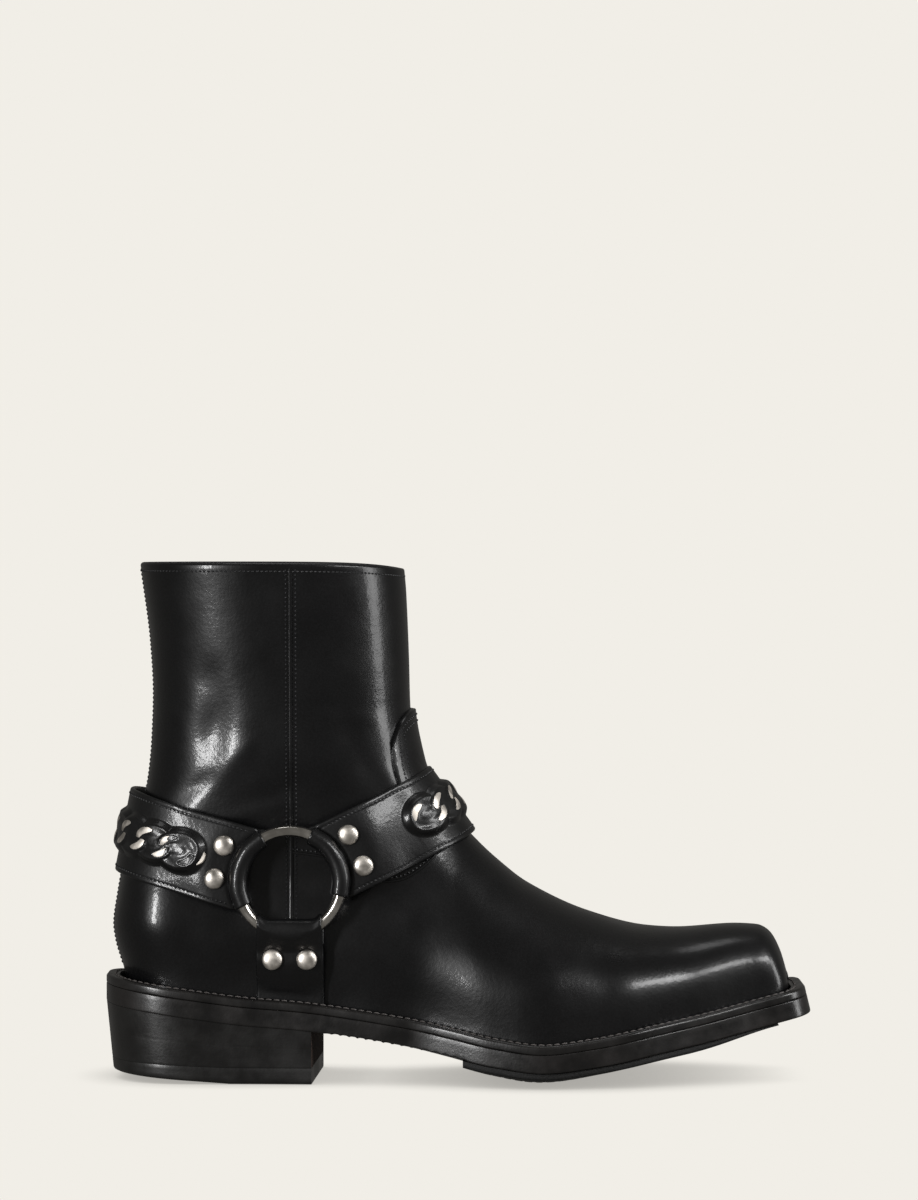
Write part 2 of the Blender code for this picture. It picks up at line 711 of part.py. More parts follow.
def strap_rows(tilt, width, edge, standoff, medial_end, columns=5):
    """Middle surface of a strap that folds round the ring and runs round the boot to its far end."""
    along, up, angle, offset, begin = strap_lines(tilt, width, columns)
    valley = begin + STRAP_VALLEY
    limit = np.array([line_limit(along, up, b, edge) for b in offset])
    outer_share = np.linspace(0.0, 1.0, CREST_ROW + 1)
    side_rows = [(w, LATERAL) for w in outer_share] + [(w, MEDIAL) for w in outer_share[-2::-1]]
    places = []
    for w, side in side_rows:
        a = valley + (limit - valley) * math.sin(math.pi / 2 * w)
        x = RING_STATION + a * along[0] + offset * up[0]
        z = RING_HEIGHT + a * along[1] + offset * up[1]
        if side == MEDIAL:
            reach = np.abs(x - ZIP_STATION)
            if np.min(reach) < medial_end:
                break
        places.append((a, w, side, upper_point(x, z, side)))
    base = np.array([place[3] for place in places])
    normal = grid_normals(base, RING_OUT)
    seat = CONTACT_GAP + 2 * FACET_GAP + STRAP_THICKNESS / 2
    rise = np.linspace(0, 1, columns)
    rows = []
    for k, (a, w, side, points) in enumerate(places):
        extra = standoff * smoothstep(w / 0.7) * rise
        edges = points + normal[k] * (seat + extra)[:, None]
        line = mix(edges[0], edges[-1], rise[:, None])
        short = seat - np.sum((line - points) * normal[k], axis=1)
        line = line + normal[k].mean(axis=0) * max(float(short.max()), 0.0)
        if side == LATERAL:
            line = lay_down(a, begin, offset, line, along, up)
        rows.append(line)
    return np.array(fold_rows(along, up, angle, offset, begin) + rows)


def bottom_strap_rows(columns=5):
    """Middle surface of the strap that folds round the ring and runs down to the welt."""
    along, up, angle, offset, begin = strap_lines(BOTTOM_STRAP_TILT, BOTTOM_STRAP_WIDTH, columns)
    valley = begin + STRAP_VALLEY
    station = RING_STATION + offset * up[0]
    end = RING_HEIGHT - welt_top(station) - CONTACT_GAP - FACET_GAP
    shares = np.linspace(0.0, 1.0, 6)
    base = []
    places = []
    for w in shares:
        a = mix(valley, end, w)
        places.append(a)
        base.append(upper_point(station, RING_HEIGHT - a, LATERAL))
    base = np.array(base)
    normal = grid_normals(base, RING_OUT)
    seat = CONTACT_GAP + 2 * FACET_GAP + STRAP_THICKNESS / 2
    rows = []
    for a, points, out in zip(places, base, normal):
        rows.append(lay_down(a, begin, offset, points + out * seat, along, up))
    return np.array(fold_rows(along, up, angle, offset, begin) + rows)


def add_strap(name, rows, finish):
    """A strap from the rows of its middle surface."""
    mesh = grid_mesh(name, shift(rows))
    return add_wall(add_object(name, mesh, finish), STRAP_THICKNESS, 0.0)


def add_ring(finish):
    """The round harness ring, with its centre on its own axis."""
    bpy.ops.mesh.primitive_torus_add(major_radius=RING_RADIUS, minor_radius=RING_WIRE / 2,
                                     major_segments=48, minor_segments=8)
    ring = bpy.context.object
    ring.name = "ring"
    ring.data.name = "ring"
    turn = Matrix((RING_ALONG, RING_UP, RING_OUT)).transposed().to_4x4()
    ring.matrix_world = Matrix.Translation(shift(RING_CENTRE)) @ turn
    for owner in list(ring.users_collection):
        owner.objects.unlink(ring)
    bpy.data.collections[COLLECTION_NAME].objects.link(ring)
    ring.data.shade_smooth()
    ring.data.materials.append(finish)
    return ring


def band_point(rows, distance, across, height):
    """A point over a strap: distance along it from its crest, across it from -1 to 1, height over it."""
    body = rows[FOLD_ROWS:]
    low, middle, high = body[:, 0], body[:, body.shape[1] // 2], body[:, -1]
    way = np.concatenate([[0.0], np.cumsum(np.linalg.norm(np.diff(middle, axis=0), axis=1))])
    crest = way[CREST_ROW]
    place = crest + distance

    def along(line):
        return np.stack([np.interp(place, way, line[:, k]) for k in range(3)], axis=-1)

    start, stop = along(low), along(high)
    ahead = np.stack([np.interp(place + 1 * MM, way, middle[:, k]) for k in range(3)], axis=-1)
    behind = np.stack([np.interp(place - 1 * MM, way, middle[:, k]) for k in range(3)], axis=-1)
    normal = np.cross(ahead - behind, stop - start)
    normal /= np.linalg.norm(normal, axis=-1, keepdims=True)
    centre = body.mean(axis=(0, 1))
    normal = np.where(np.sum(normal * (start - centre), axis=-1, keepdims=True) < 0, -normal, normal)
    spot = mix(start, stop, (np.asarray(across)[..., None] + 1) / 2)
    return spot + normal * np.asarray(height)[..., None]


def add_links(prefix, rows, width, count, finish):
    """A curb chain along a strap's crest: flat twisted links that pass through one another."""
    turns, sides = 16, 4
    phi = np.linspace(0, 2 * math.pi, turns, endpoint=False)
    theta = np.linspace(0, 2 * math.pi, sides, endpoint=False)
    sway = LINK_WIRE / 2 + LINK_PLAY
    half_long, half_wide = LINK_LENGTH / 2, LINK_WIDTH / 2
    line = np.stack([half_long * np.cos(phi), half_wide * np.sin(phi), sway * np.sin(2 * phi)], axis=-1)
    tangent = np.roll(line, -1, axis=0) - np.roll(line, 1, axis=0)
    tangent /= np.linalg.norm(tangent, axis=1, keepdims=True)
    side = np.cross(tangent, (0.0, 0.0, 1.0))
    side /= np.linalg.norm(side, axis=1, keepdims=True)
    over = np.cross(side, tangent)
    ring = side[:, None] * np.cos(theta)[None, :, None] + over[:, None] * np.sin(theta)[None, :, None]
    local = line[:, None] + ring * LINK_WIRE / 2
    base = STRAP_THICKNESS / 2 + CONTACT_GAP + 2 * FACET_GAP + LINK_WIRE / 2 + sway
    for index in range(count):
        middle = (index - (count - 1) / 2) * LINK_PITCH
        points = band_point(rows, middle + local[..., 0], local[..., 1] / (width / 2), base + local[..., 2])
        name = "{}_{}".format(prefix, index + 1)
        mesh = grid_mesh(name, shift(points), closed_rows=True, closed_columns=True)
        add_object(name, mesh, finish)


def stud_mesh(finish):
    """A low dome on a flat base, turned about its axis."""
    radius = STUD_DIAMETER / 2
    angles = np.radians(np.linspace(90, 0, 4))
    profile = [(radius * math.cos(a), STUD_RISE * math.sin(a)) for a in angles]
    profile += [(radius, -STUD_SKIRT), (0.0, -STUD_SKIRT)]
    mesh = bpy.data.meshes.new("stud")
    mesh.from_pydata([(x, 0.0, z) for x, z in profile], [(k, k + 1) for k in range(len(profile) - 1)], [])
    mesh.materials.append(finish)
    return mesh


def add_stud(name, mesh, spot):
    """One stud, its base just over the strap."""
    stud = bpy.data.objects.new(name, mesh)
    bpy.data.collections[COLLECTION_NAME].objects.link(stud)
    turn = Matrix((RING_ALONG, RING_UP, RING_OUT)).transposed().to_4x4()
    stud.matrix_world = Matrix.Translation(shift(spot)) @ turn
    spin = stud.modifiers.new("turn", "SCREW")
    spin.steps = 12
    spin.render_steps = 12
    spin.use_merge_vertices = True
    spin.merge_threshold = 0.00005
    return stud


def strap_spot(tilt, across, reach):
    """Point on a strap's outer face, where it lies flat over its tucked layer."""
    along, up = strap_axes(tilt)
    over = STRAP_THICKNESS + CONTACT_GAP - FOLD_RADIUS + STRAP_THICKNESS / 2
    height = np.array([over + CONTACT_GAP + STUD_SKIRT])
    return plane_point(np.array([reach]), np.array([across]), height, along, up)[0]


def add_studs(straps, finish):
    """Two studs at each strap's end."""
    mesh = stud_mesh(finish)
    number = 0
    for tilt, reach in straps:
        for across in (-STUD_PITCH / 2, STUD_PITCH / 2):
            number += 1
            add_stud("stud_{}".format(number), mesh, strap_spot(tilt, across, reach))


# Tongue and zip


def front_point(y, z):
    """The upper's front surface at a distance from the ridge, found by halving along the station."""
    high = front_x(z)
    low = high - 60 * MM
    side = np.where(y < 0, LATERAL, MEDIAL)
    for _ in range(30):
        half = (low + high) / 2
        medial = upper_point(half, z, MEDIAL)[..., 1]
        lateral = upper_point(half, z, LATERAL)[..., 1]
        point = np.where(side > 0, medial, lateral)
        wide = np.abs(point) > np.abs(y)
        low = np.where(wide, half, low)
        high = np.where(wide, high, half)
    return np.stack([low, y, z], axis=-1)


def add_tongue(finish):
    """The arched overlay on the front of the shaft, down to the front strap's upper edge."""
    columns = np.linspace(-0.97, 0.97, 11)
    y = TONGUE_HALF_WIDTH * columns
    slope = math.tan(FRONT_STRAP_TILT)
    edge = FRONT_STRAP_WIDTH / 2 / math.cos(FRONT_STRAP_TILT)
    foot = np.full_like(y, INSTEP_HEIGHT)
    for _ in range(6):
        x = front_point(y, foot)[:, 0]
        foot = RING_HEIGHT + edge + slope * (x - RING_STATION) + TONGUE_FOOT_GAP
    arch = (1 - np.abs(columns) ** 3.2) ** (1 / 3.2)
    middle = foot[len(foot) // 2]
    rows = []
    for share in np.linspace(0, 1, 5):
        z = foot + share * (TONGUE_TOP - middle) * arch
        rows.append(front_point(y, z))
    rows = np.array(rows)
    normal = grid_normals(rows, (1.0, 0.0, 0.0))
    rows = rows + normal * (CONTACT_GAP + FACET_GAP + TONGUE_THICKNESS / 2)
    mesh = grid_mesh("vamp_tongue", shift(rows))
    return add_wall(add_object("vamp_tongue", mesh, finish), TONGUE_THICKNESS, 0.0)


def add_zip_tape(finish):
    """The closed zip down the medial side."""
    heights = np.linspace(ZIP_BOTTOM, COLLAR_HEIGHT - ZIP_TOP_GAP, 16)
    across = ZIP_STATION + ZIP_WIDTH / 2 * np.linspace(-1, 1, 3)
    x, z = np.meshgrid(across, heights)
    rows = upper_point(x, z, MEDIAL)
    normal = grid_normals(rows, (0.0, 1.0, 0.0))
    rows = rows + normal * (CONTACT_GAP + FACET_GAP + ZIP_TAPE_THICKNESS / 2)
    mesh = grid_mesh("zip_tape", shift(rows))
    return add_wall(add_object("zip_tape", mesh, finish), ZIP_TAPE_THICKNESS, 0.0)


def zip_frame():
    """Place of the slider on the tape: middle of its inner face, and the outward vector."""
    z = COLLAR_HEIGHT - SLIDER_DROP
    reach = SLIDER_LENGTH / 2
    high = upper_point(ZIP_STATION, z + reach, MEDIAL)
    low = upper_point(ZIP_STATION, z - reach, MEDIAL)
    up = (high - low) / np.linalg.norm(high - low)
    outward = np.cross(up, (1.0, 0.0, 0.0))
    spot = upper_point(ZIP_STATION, z, MEDIAL)
    stand = 2 * CONTACT_GAP + 2 * FACET_GAP + ZIP_TAPE_THICKNESS
    return spot + outward * stand, up, outward


def box_mesh(name, size, offset):
    """A box of a size with its middle at an offset."""
    form = bmesh.new()
    bmesh.ops.create_cube(form, size=1.0)
    bmesh.ops.scale(form, vec=size, verts=form.verts)
    bmesh.ops.translate(form, vec=offset, verts=form.verts)
    mesh = bpy.data.meshes.new(name)
    form.to_mesh(mesh)
    form.free()
    return mesh


def cut_with(piece, mesh, operation, place):
    """Joins a helper body to a piece, or cuts it out of it."""
    cutter = bpy.data.objects.new(mesh.name, mesh)
    bpy.data.collections["cutters"].objects.link(cutter)
    cutter.hide_render = True
    cutter.display_type = "WIRE"
    cutter.matrix_world = place
    cut = piece.modifiers.new(mesh.name, "BOOLEAN")
    cut.operation = operation
    cut.object = cutter


def add_zip_slider(finish):
    """The slider's body with an arch along it, which the pull tab's rim runs through."""
    spot, up, outward = zip_frame()
    turn = Matrix(((1.0, 0.0, 0.0), tuple(up), tuple(outward))).transposed().to_4x4()
    place = Matrix.Translation(shift(spot)) @ turn
    size = (SLIDER_WIDTH, SLIDER_LENGTH, SLIDER_THICKNESS)
    slider = add_object("zip_slider", box_mesh("zip_slider", size, (0, 0, SLIDER_THICKNESS / 2)), finish)
    slider.matrix_world = place
    arch_length = ARCH_WINDOW_LENGTH + 2 * ARCH_WALL
    arch_height = ARCH_WINDOW_HEIGHT + CONTACT_GAP + ARCH_WALL
    sink = SLIDER_THICKNESS / 4
    arch = box_mesh("arch", (ARCH_WIDTH, arch_length, arch_height + sink),
                    (0, 0, SLIDER_THICKNESS + (arch_height - sink) / 2))
    window = box_mesh("window", (2 * ARCH_WIDTH, ARCH_WINDOW_LENGTH, ARCH_WINDOW_HEIGHT),
                      (0, 0, SLIDER_THICKNESS + (ARCH_WINDOW_HEIGHT + CONTACT_GAP) / 2))
    cut_with(slider, arch, "UNION", place)
    cut_with(slider, window, "DIFFERENCE", place)
    return slider


def pull_pivot():
    """Middle of the pull tab's rim, in the middle of the slider's window."""
    spot, up, outward = zip_frame()
    return spot + outward * (SLIDER_THICKNESS + (ARCH_WINDOW_HEIGHT + CONTACT_GAP) / 2)


def add_zip_pull(finish):
    """The pull tab, hanging straight down, with its slot round the arch."""
    place = Matrix.Translation(shift(pull_pivot()))
    size = (PULL_WIDTH, PULL_THICKNESS, PULL_LENGTH)
    pull = add_object("zip_pull", box_mesh("zip_pull", size, (0, 0, (PULL_RIM - PULL_LENGTH) / 2)), finish)
    pull.matrix_world = place
    corner = math.hypot(ARCH_WINDOW_LENGTH / 2 + ARCH_WALL, ARCH_WINDOW_HEIGHT / 2 + ARCH_WALL)
    slot_end = corner + 2 * CONTACT_GAP
    slot_start = PULL_RIM / 2
    slot = box_mesh("pull_slot", (ARCH_WIDTH + 3 * CONTACT_GAP, 4 * PULL_THICKNESS, slot_end - slot_start),
                    (0, 0, -(slot_start + slot_end) / 2))
    cut_with(pull, slot, "DIFFERENCE", place)
    return pull


def clear_scene():
    """Removes what the scene holds."""
    for piece in list(bpy.data.objects):
        bpy.data.objects.remove(piece, do_unlink=True)


def main():
    """Builds the boot."""
    clear_scene()
    for name in (COLLECTION_NAME, "cutters"):
        holder = bpy.data.collections.new(name)
        bpy.context.scene.collection.children.link(holder)
    leather = material("upper_leather", (0.012, 0.012, 0.013), 0.22)
    harness = material("harness_leather", (0.014, 0.014, 0.015), 0.3)
    edge = material("welt_leather", (0.02, 0.019, 0.018), 0.4)
    stack = material("heel_leather", (0.018, 0.017, 0.017), 0.35)
    rubber = material("sole_rubber", (0.015, 0.015, 0.015), 0.7)
    board = material("insole_leather", (0.09, 0.06, 0.04), 0.7)
    nickel = material("polished_nickel", (0.7, 0.68, 0.65), 0.12, 1.0)
    brushed = material("brushed_nickel", (0.6, 0.58, 0.55), 0.3, 1.0)
    tape = material("zip_tape", (0.015, 0.015, 0.016), 0.8)
    add_upper(leather)
    add_tongue(leather)
    add_welt(edge)
    add_midsole(edge)
    add_half_sole(rubber)
    add_heel(stack, rubber)
    add_insole(board)
    front = strap_rows(FRONT_STRAP_TILT, FRONT_STRAP_WIDTH, "front", FRONT_STANDOFF, STRAP_END_TO_ZIP)
    back = strap_rows(BACK_STRAP_TILT, BACK_STRAP_WIDTH, "back", BACK_STANDOFF, STRAP_END_TO_ZIP)
    bottom = bottom_strap_rows()
    add_strap("front_strap", front, harness)
    add_strap("back_strap", back, harness)
    add_strap("bottom_strap", bottom, harness)
    add_ring(nickel)
    add_studs(((FRONT_STRAP_TILT, STUD_REACH), (BACK_STRAP_TILT, STUD_REACH),
               (BOTTOM_STRAP_TILT, BOTTOM_STUD_REACH)), brushed)
    add_links("front_link", front, FRONT_STRAP_WIDTH, FRONT_LINKS, brushed)
    add_links("back_link", back, BACK_STRAP_WIDTH, BACK_LINKS, brushed)
    add_zip_tape(tape)
    add_zip_slider(brushed)
    add_zip_pull(brushed)


main()
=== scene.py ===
"""Harness ankle boot, right shoe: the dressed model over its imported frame.

The toe points to +X, +Z is up and the outer (lateral) side faces -Y. Shapes are functions of the side
view: a station from the welt's back and a height over the floor give a point of the leather.
"""
import math

import bpy
import numpy as np
from bpy.props import FloatProperty, FloatVectorProperty, PointerProperty
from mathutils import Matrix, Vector


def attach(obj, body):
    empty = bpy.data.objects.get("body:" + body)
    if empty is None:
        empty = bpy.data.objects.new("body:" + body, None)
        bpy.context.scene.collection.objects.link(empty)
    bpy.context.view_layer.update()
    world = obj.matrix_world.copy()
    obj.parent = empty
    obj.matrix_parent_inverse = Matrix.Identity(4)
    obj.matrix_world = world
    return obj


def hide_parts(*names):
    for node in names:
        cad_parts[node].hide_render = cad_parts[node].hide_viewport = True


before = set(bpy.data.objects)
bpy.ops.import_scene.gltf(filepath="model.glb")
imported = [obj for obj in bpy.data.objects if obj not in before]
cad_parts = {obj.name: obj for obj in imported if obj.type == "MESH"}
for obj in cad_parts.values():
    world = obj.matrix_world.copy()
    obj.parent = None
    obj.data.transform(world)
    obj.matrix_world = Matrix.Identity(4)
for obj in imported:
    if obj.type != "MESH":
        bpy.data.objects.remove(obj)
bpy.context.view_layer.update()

bl_info = {
    "name": "Harness boot",
    "version": (1, 0, 0),
    "blender": (4, 5, 0),
    "location": "3D View > Sidebar > Boot",
    "description": "Dresses the packed harness boot with leather, stitches, metal and a plain stage",
    "category": "Object",
}

MM = 0.001
LATERAL = -1
MEDIAL = 1

# Last and sole
SOLE_LENGTH = 309 * MM
BALL_WIDTH = 110 * MM
WAIST_WIDTH = 70 * MM
HEEL_WIDTH = 74 * MM
TOE_WIDTH = 63 * MM
TOE_ROUND = 24 * MM
HEEL_SEAT_HEIGHT = 46.2 * MM
BALL_SEAT_HEIGHT = 19 * MM
TOE_SEAT_HEIGHT = 41.5 * MM
BALL_STATION = 192 * MM
INSTEP_HEIGHT = 140 * MM
COLLAR_HEIGHT = 226.3 * MM
COLLAR_WIDTH = 90 * MM
ANKLE_WIDTH = 74 * MM
ANKLE_HEIGHT = 125 * MM
UPPER_WALL = 2.4 * MM
SIDE_BULGE = 8 * MM
BULGE_HEIGHT = 55 * MM
RIDGE_SHIFT = 3.5 * MM
INSTEP_SLOPE = 1.35

# Sole layers
WELT_STANDOUT = 7 * MM
WELT_THICKNESS = 4 * MM
MIDSOLE_THICKNESS = 8 * MM
HALF_SOLE_THICKNESS = 2.6 * MM
HALF_SOLE_START = 158 * MM
HALF_SOLE_INSET = 1.2 * MM
HALF_SOLE_TOE_GAP = 16 * MM
SOLE_CROWN = 4.6 * MM
CROWN_REACH = 75 * MM
HEEL_BREAST = 92 * MM
BREAST_SKEW = 3.5 * MM
HEEL_TAPER = 3.4 * MM
HEEL_SIDE_TAPER = 1.4 * MM
LIFT_THICKNESS = 7 * MM
LIFT_BEVEL = 3.8 * MM
LIFT_BEVEL_LENGTH = 55 * MM
INSOLE_THICKNESS = 3 * MM
INSOLE_GAP = 2.6 * MM

# Details of the sole
WAIST_START = 96 * MM
WAIST_EASE = 8 * MM
WAIST_STOP = HALF_SOLE_START + 4 * MM
WAIST_STOP_EASE = 6 * MM
SCALLOP_PITCH = 4 * MM
SCALLOP_DEPTH = 0.7 * MM
SCALLOP_WANDER = 9 * MM
TREAD_PITCH = 4.5 * MM
TREAD_DEPTH = 0.5 * MM
TREAD_TOE_LENGTH = 40 * MM
TREAD_TOE_RISE = 2.0 * MM
INSOLE_DISH = 0.8 * MM

# Harness
STRAP_THICKNESS = 2.2 * MM
FRONT_STRAP_WIDTH = 35 * MM
BACK_STRAP_WIDTH = 37 * MM
BOTTOM_STRAP_WIDTH = 29.5 * MM
FRONT_STRAP_TILT = math.radians(26)
BACK_STRAP_TILT = math.radians(164)
BOTTOM_STRAP_TILT = math.radians(270)
STRAP_TUCK = 9.5 * MM
STRAP_VALLEY = 1.5 * MM
BACK_STANDOFF = 3.6 * MM
FRONT_STANDOFF = 0.6 * MM
STRAP_END_TO_ZIP = 14 * MM
RING_STATION = 82.9 * MM
RING_HEIGHT = 88.2 * MM
RING_DIAMETER = 50 * MM
RING_WIRE = 5.6 * MM
STUD_RISE = 2.1 * MM
STUD_SKIRT = 0.4 * MM
STUD_PITCH = 15 * MM
STUD_REACH = 32 * MM
BOTTOM_STUD_REACH = 33.5 * MM
LINK_PITCH = 12 * MM
FRONT_LINKS = 6
BACK_LINKS = 9

# Vamp tongue and zip
FRONT_SEARCH = 60 * MM
TONGUE_TOP = 163 * MM
TONGUE_HALF_WIDTH = 25.5 * MM
TONGUE_THICKNESS = 1.8 * MM
TONGUE_FOOT_GAP = 2.2 * MM
TONGUE_FOOT_DROP = 8 * MM
TONGUE_ARCH = 4.6
TONGUE_ROUND = 1.1 * MM
TONGUE_SINK = 0.6 * MM
TONGUE_STEPS = 61
TONGUE_STITCH_STEPS = (3, 6)
ZIP_STATION = 73 * MM
ZIP_WIDTH = 9 * MM
ZIP_BOTTOM = 62 * MM
ZIP_TOP_GAP = 0.5 * MM
ZIP_TAPE_THICKNESS = 1.2 * MM
TAPE_SINK = 0.4 * MM
TEETH_REACH = 0.7 * MM
TOOTH_PITCH = 1.9 * MM
TOOTH_LENGTH = 1.2 * MM
TOOTH_WIDTH = 1.5 * MM

# Clearances, and the heights that follow from them
CONTACT_GAP = 0.3 * MM
FACET_GAP = 0.25 * MM
JOIN_GAP = 0.1 * MM
STRAP_SEAT = CONTACT_GAP + 2 * FACET_GAP + STRAP_THICKNESS / 2
TONGUE_RISE = CONTACT_GAP + FACET_GAP + TONGUE_THICKNESS
TAPE_RISE = CONTACT_GAP + FACET_GAP + ZIP_TAPE_THICKNESS
HEEL_REST_STATION = 0.5 * (LIFT_BEVEL_LENGTH + HEEL_BREAST)

# Seams and thread
SEAM_STATION = 83.1 * MM
SEAM_FOOT = 52 * MM
SEAM_TOP = COLLAR_HEIGHT - 1.2 * MM
SEAM_SAMPLE = 1.2 * MM
SEAM_STITCH_REACH = 2.1 * MM
BACK_SEAM_FOOT = 50 * MM
BACK_SEAM_REACH = 0.35 * MM
COLLAR_STITCH_DROP = 2.4 * MM
CORD_FLATNESS = 0.8
PANEL_CORD = 0.6 * MM
PANEL_STITCH_RISE = 1.6 * MM
PANEL_EDGE_X = np.array([83.0, 95.0, 106.0, 118.0, 131.0, 138.0, 144.5, 150.0]) * MM
PANEL_EDGE_Z = np.array([101.0, 99.5, 97.0, 89.5, 89.0, 92.5, 98.0, 106.0]) * MM
STITCH_INSET = 2.4 * MM
STITCH_SLANT = 0.35
STITCH_GROOVE = 0.14 * MM
GROOVE_WIDTH = 0.5 * MM
THREAD_START = 1.0 * MM
WELT_STITCH_INSET = 4.0 * MM
WELT_STITCH_SHARE = 0.82

# Straps, ring, studs and chain as they look
STRAP_SAMPLE = 0.5 * MM
STRAP_EDGE = 0.9 * MM
FOLD_LEATHER = 1.5 * MM
FOLD_EASE = 4 * MM
TUCK_DROP = 0.6 * MM
SETTLE_START = 8 * MM
SETTLE_LENGTH = 26 * MM
BOTTOM_SETTLE_START = 6 * MM
BOTTOM_SETTLE_LENGTH = 18 * MM
BOTTOM_FOLD_TOP = 16.4 * MM
BOTTOM_FLAT_START = 31 * MM
RING_LOOK_WIRE = 5.0 * MM
STRAP_STUD = 9.0 * MM
CHAIN_LENGTH = 18 * MM
CHAIN_WIDTH = 13.5 * MM
CHAIN_WIRE = 3.2 * MM
CHAIN_THICKNESS = 1.8 * MM
CHAIN_SWAY = 0.6 * MM
CHAIN_DEPTH = 0.12 * MM
CHAIN_HALF_LONG = (CHAIN_LENGTH - CHAIN_WIRE) / 2
CHAIN_HALF_WIDE = (CHAIN_WIDTH - CHAIN_WIRE) / 2
COVER_HEIGHT = 2.7 * MM
COVER_REACH = 5.4 * MM
COVER_SLOPE = 3.6 * MM
BOWL_DEPTH = 0.07
BOWL_PLACE = 2.8 * MM
BOWL_WIDTH = 1.3 * MM
SWAY_WIDTH = 2.2 * MM
WINDOW_DEPTH = 0.4 * MM
WINDOW_WIDTH = 1.5 * MM
WINDOW_EDGE = 0.4 * MM
WINDOW_SOFTNESS = 0.3
WINDOW_TURNS = (38, 214)
WINDOW_SPAN = math.radians(42)

# Camera, from the photograph's perspective
IMAGE_HEIGHT = 1200
FOCAL_PIXELS = 4509
HORIZON_OFFSET = 69
CAMERA_X = 82.85 * MM
CAMERA_DISTANCE = 2000 * MM
CAMERA_Z = 241.4 * MM

# Stage, in metres and watts. Columns of the lights: name, place, target, width and height, power.
# Reach and depth of the painted contact shadow darkening the floor's glow round the boot.
PAINTED_SHADOW_REACH = 30 * MM
PAINTED_SHADOW_DEPTH = 0.45
FLOOR_REACH = 12.0
STRIP_TARGET = (0.03, -0.03, 0.15)
LIGHTS = (
    ("left_strip", (-0.88, -1.12, 0.30), STRIP_TARGET, (0.14, 0.6), 13.0),
    ("right_strip", (1.65, -0.42, 0.45), STRIP_TARGET, (0.45, 0.9), 10.0),
    ("front_high", (1.35, -1.00, 1.05), (0.16, 0.0, 0.05), (0.9, 0.3), 15.0),
    ("overhead", (0.0, 0.1, 1.7), (0.05, 0.0, 0.05), (1.0, 0.4), 3.0),
)

# Height of the welt's top edge over its low point at the ball. Columns: way from the ball, -1 at the
# heel and 1 at the toe, share of the drop from the heel, share of the rise to the toe.
WELT_PROFILE = (
    (-1.00, 1.00, 0.00), (-0.80, 0.80, 0.00), (-0.68, 0.69, 0.00), (-0.54, 0.61, 0.00),
    (-0.42, 0.50, 0.00), (-0.30, 0.36, 0.00), (-0.20, 0.22, 0.00), (-0.10, 0.08, 0.00),
    (0.00, 0.00, 0.00), (0.20, 0.00, 0.11), (0.40, 0.00, 0.31), (0.60, 0.00, 0.51),
    (0.80, 0.00, 0.75), (1.00, 0.00, 1.00),
)

# Sole outline. Columns: share of the length, the width it follows, share of that width, medial share.
OUTLINE = (
    (0.00, HEEL_WIDTH, 1.00, 0.50),
    (0.13, HEEL_WIDTH, 1.00, 0.50),
    (0.28, HEEL_WIDTH, 0.96, 0.46),
    (0.43, WAIST_WIDTH, 1.00, 0.41),
    (0.55, BALL_WIDTH, 0.84, 0.43),
    (0.65, BALL_WIDTH, 0.99, 0.48),
    (0.73, BALL_WIDTH, 0.98, 0.51),
    (0.84, BALL_WIDTH, 0.81, 0.54),
    (0.94, TOE_WIDTH, 1.08, 0.55),
    (1.00, TOE_WIDTH, 1.00, 0.555),
)

# Back line of the upper. Columns: share of the height from feather to collar, share of the length.
BACK_LINE = (
    (0.000, 0.0307), (0.047, 0.0236), (0.106, 0.0136), (0.144, 0.0107), (0.220, 0.0165),
    (0.274, 0.0223), (0.344, 0.0333), (0.415, 0.0472), (0.490, 0.0595), (0.588, 0.0654),
    (0.696, 0.0676), (0.815, 0.0638), (1.000, 0.0495),
)

# Front line, up the toe wall, back along the vamp and up the shaft. Columns: share of the length,
# share of the rise from feather to instep, share of the rise from instep to collar.
FRONT_LINE = (
    (0.9767, 0.000, 0.0), (0.9780, 0.068, 0.0), (0.9740, 0.126, 0.0), (0.9667, 0.194, 0.0),
    (0.9524, 0.266, 0.0), (0.9353, 0.292, 0.0), (0.9060, 0.296, 0.0), (0.8190, 0.280, 0.0),
    (0.7770, 0.287, 0.0), (0.6910, 0.352, 0.0), (0.6050, 0.473, 0.0), (0.5620, 0.572, 0.0),
    (0.5330, 0.653, 0.0), (0.4820, 0.820, 0.0), (0.4630, 0.903, 0.0), (0.4500, 1.000, 0.0),
    (0.4362, 1.0, 0.278), (0.4343, 1.0, 0.521), (0.4304, 1.0, 0.857), (0.4278, 1.0, 0.970),
)

# Foot sections. Columns: share of the length, medial bulge, lateral bulge, roundness of the top.
SECTIONS = (
    (0.00, 0.45, 0.45, 3.0),
    (0.15, 0.45, 0.45, 3.0),
    (0.30, 0.75, 0.45, 2.6),
    (0.42, 1.00, 0.40, 2.3),
    (0.52, 0.70, 0.30, 2.1),
    (0.64, 0.35, 0.30, 2.2),
    (0.75, 0.30, 0.30, 2.3),
    (0.88, 0.25, 0.25, 2.5),
    (0.98, 0.20, 0.20, 2.8),
)

# Rings of the upper. Columns: share of the front line, share of the back line.
RINGS = (
    (0.000, 0.000), (0.025, 0.014), (0.050, 0.030), (0.075, 0.050), (0.095, 0.070), (0.120, 0.092),
    (0.155, 0.115), (0.200, 0.140), (0.250, 0.165), (0.300, 0.190), (0.350, 0.215), (0.400, 0.245),
    (0.450, 0.280), (0.500, 0.320), (0.550, 0.365), (0.600, 0.420), (0.650, 0.480), (0.700, 0.540),
    (0.750, 0.605), (0.800, 0.675), (0.850, 0.750), (0.900, 0.830), (0.950, 0.915), (1.000, 1.000),
)
HEEL_ROUNDNESS = 2.3
TOE_SQUARENESS = 4.5
SHAFT_ROUNDNESS = 2.3
FOOT_TOP = 80 * MM
SHAFT_START = 150 * MM


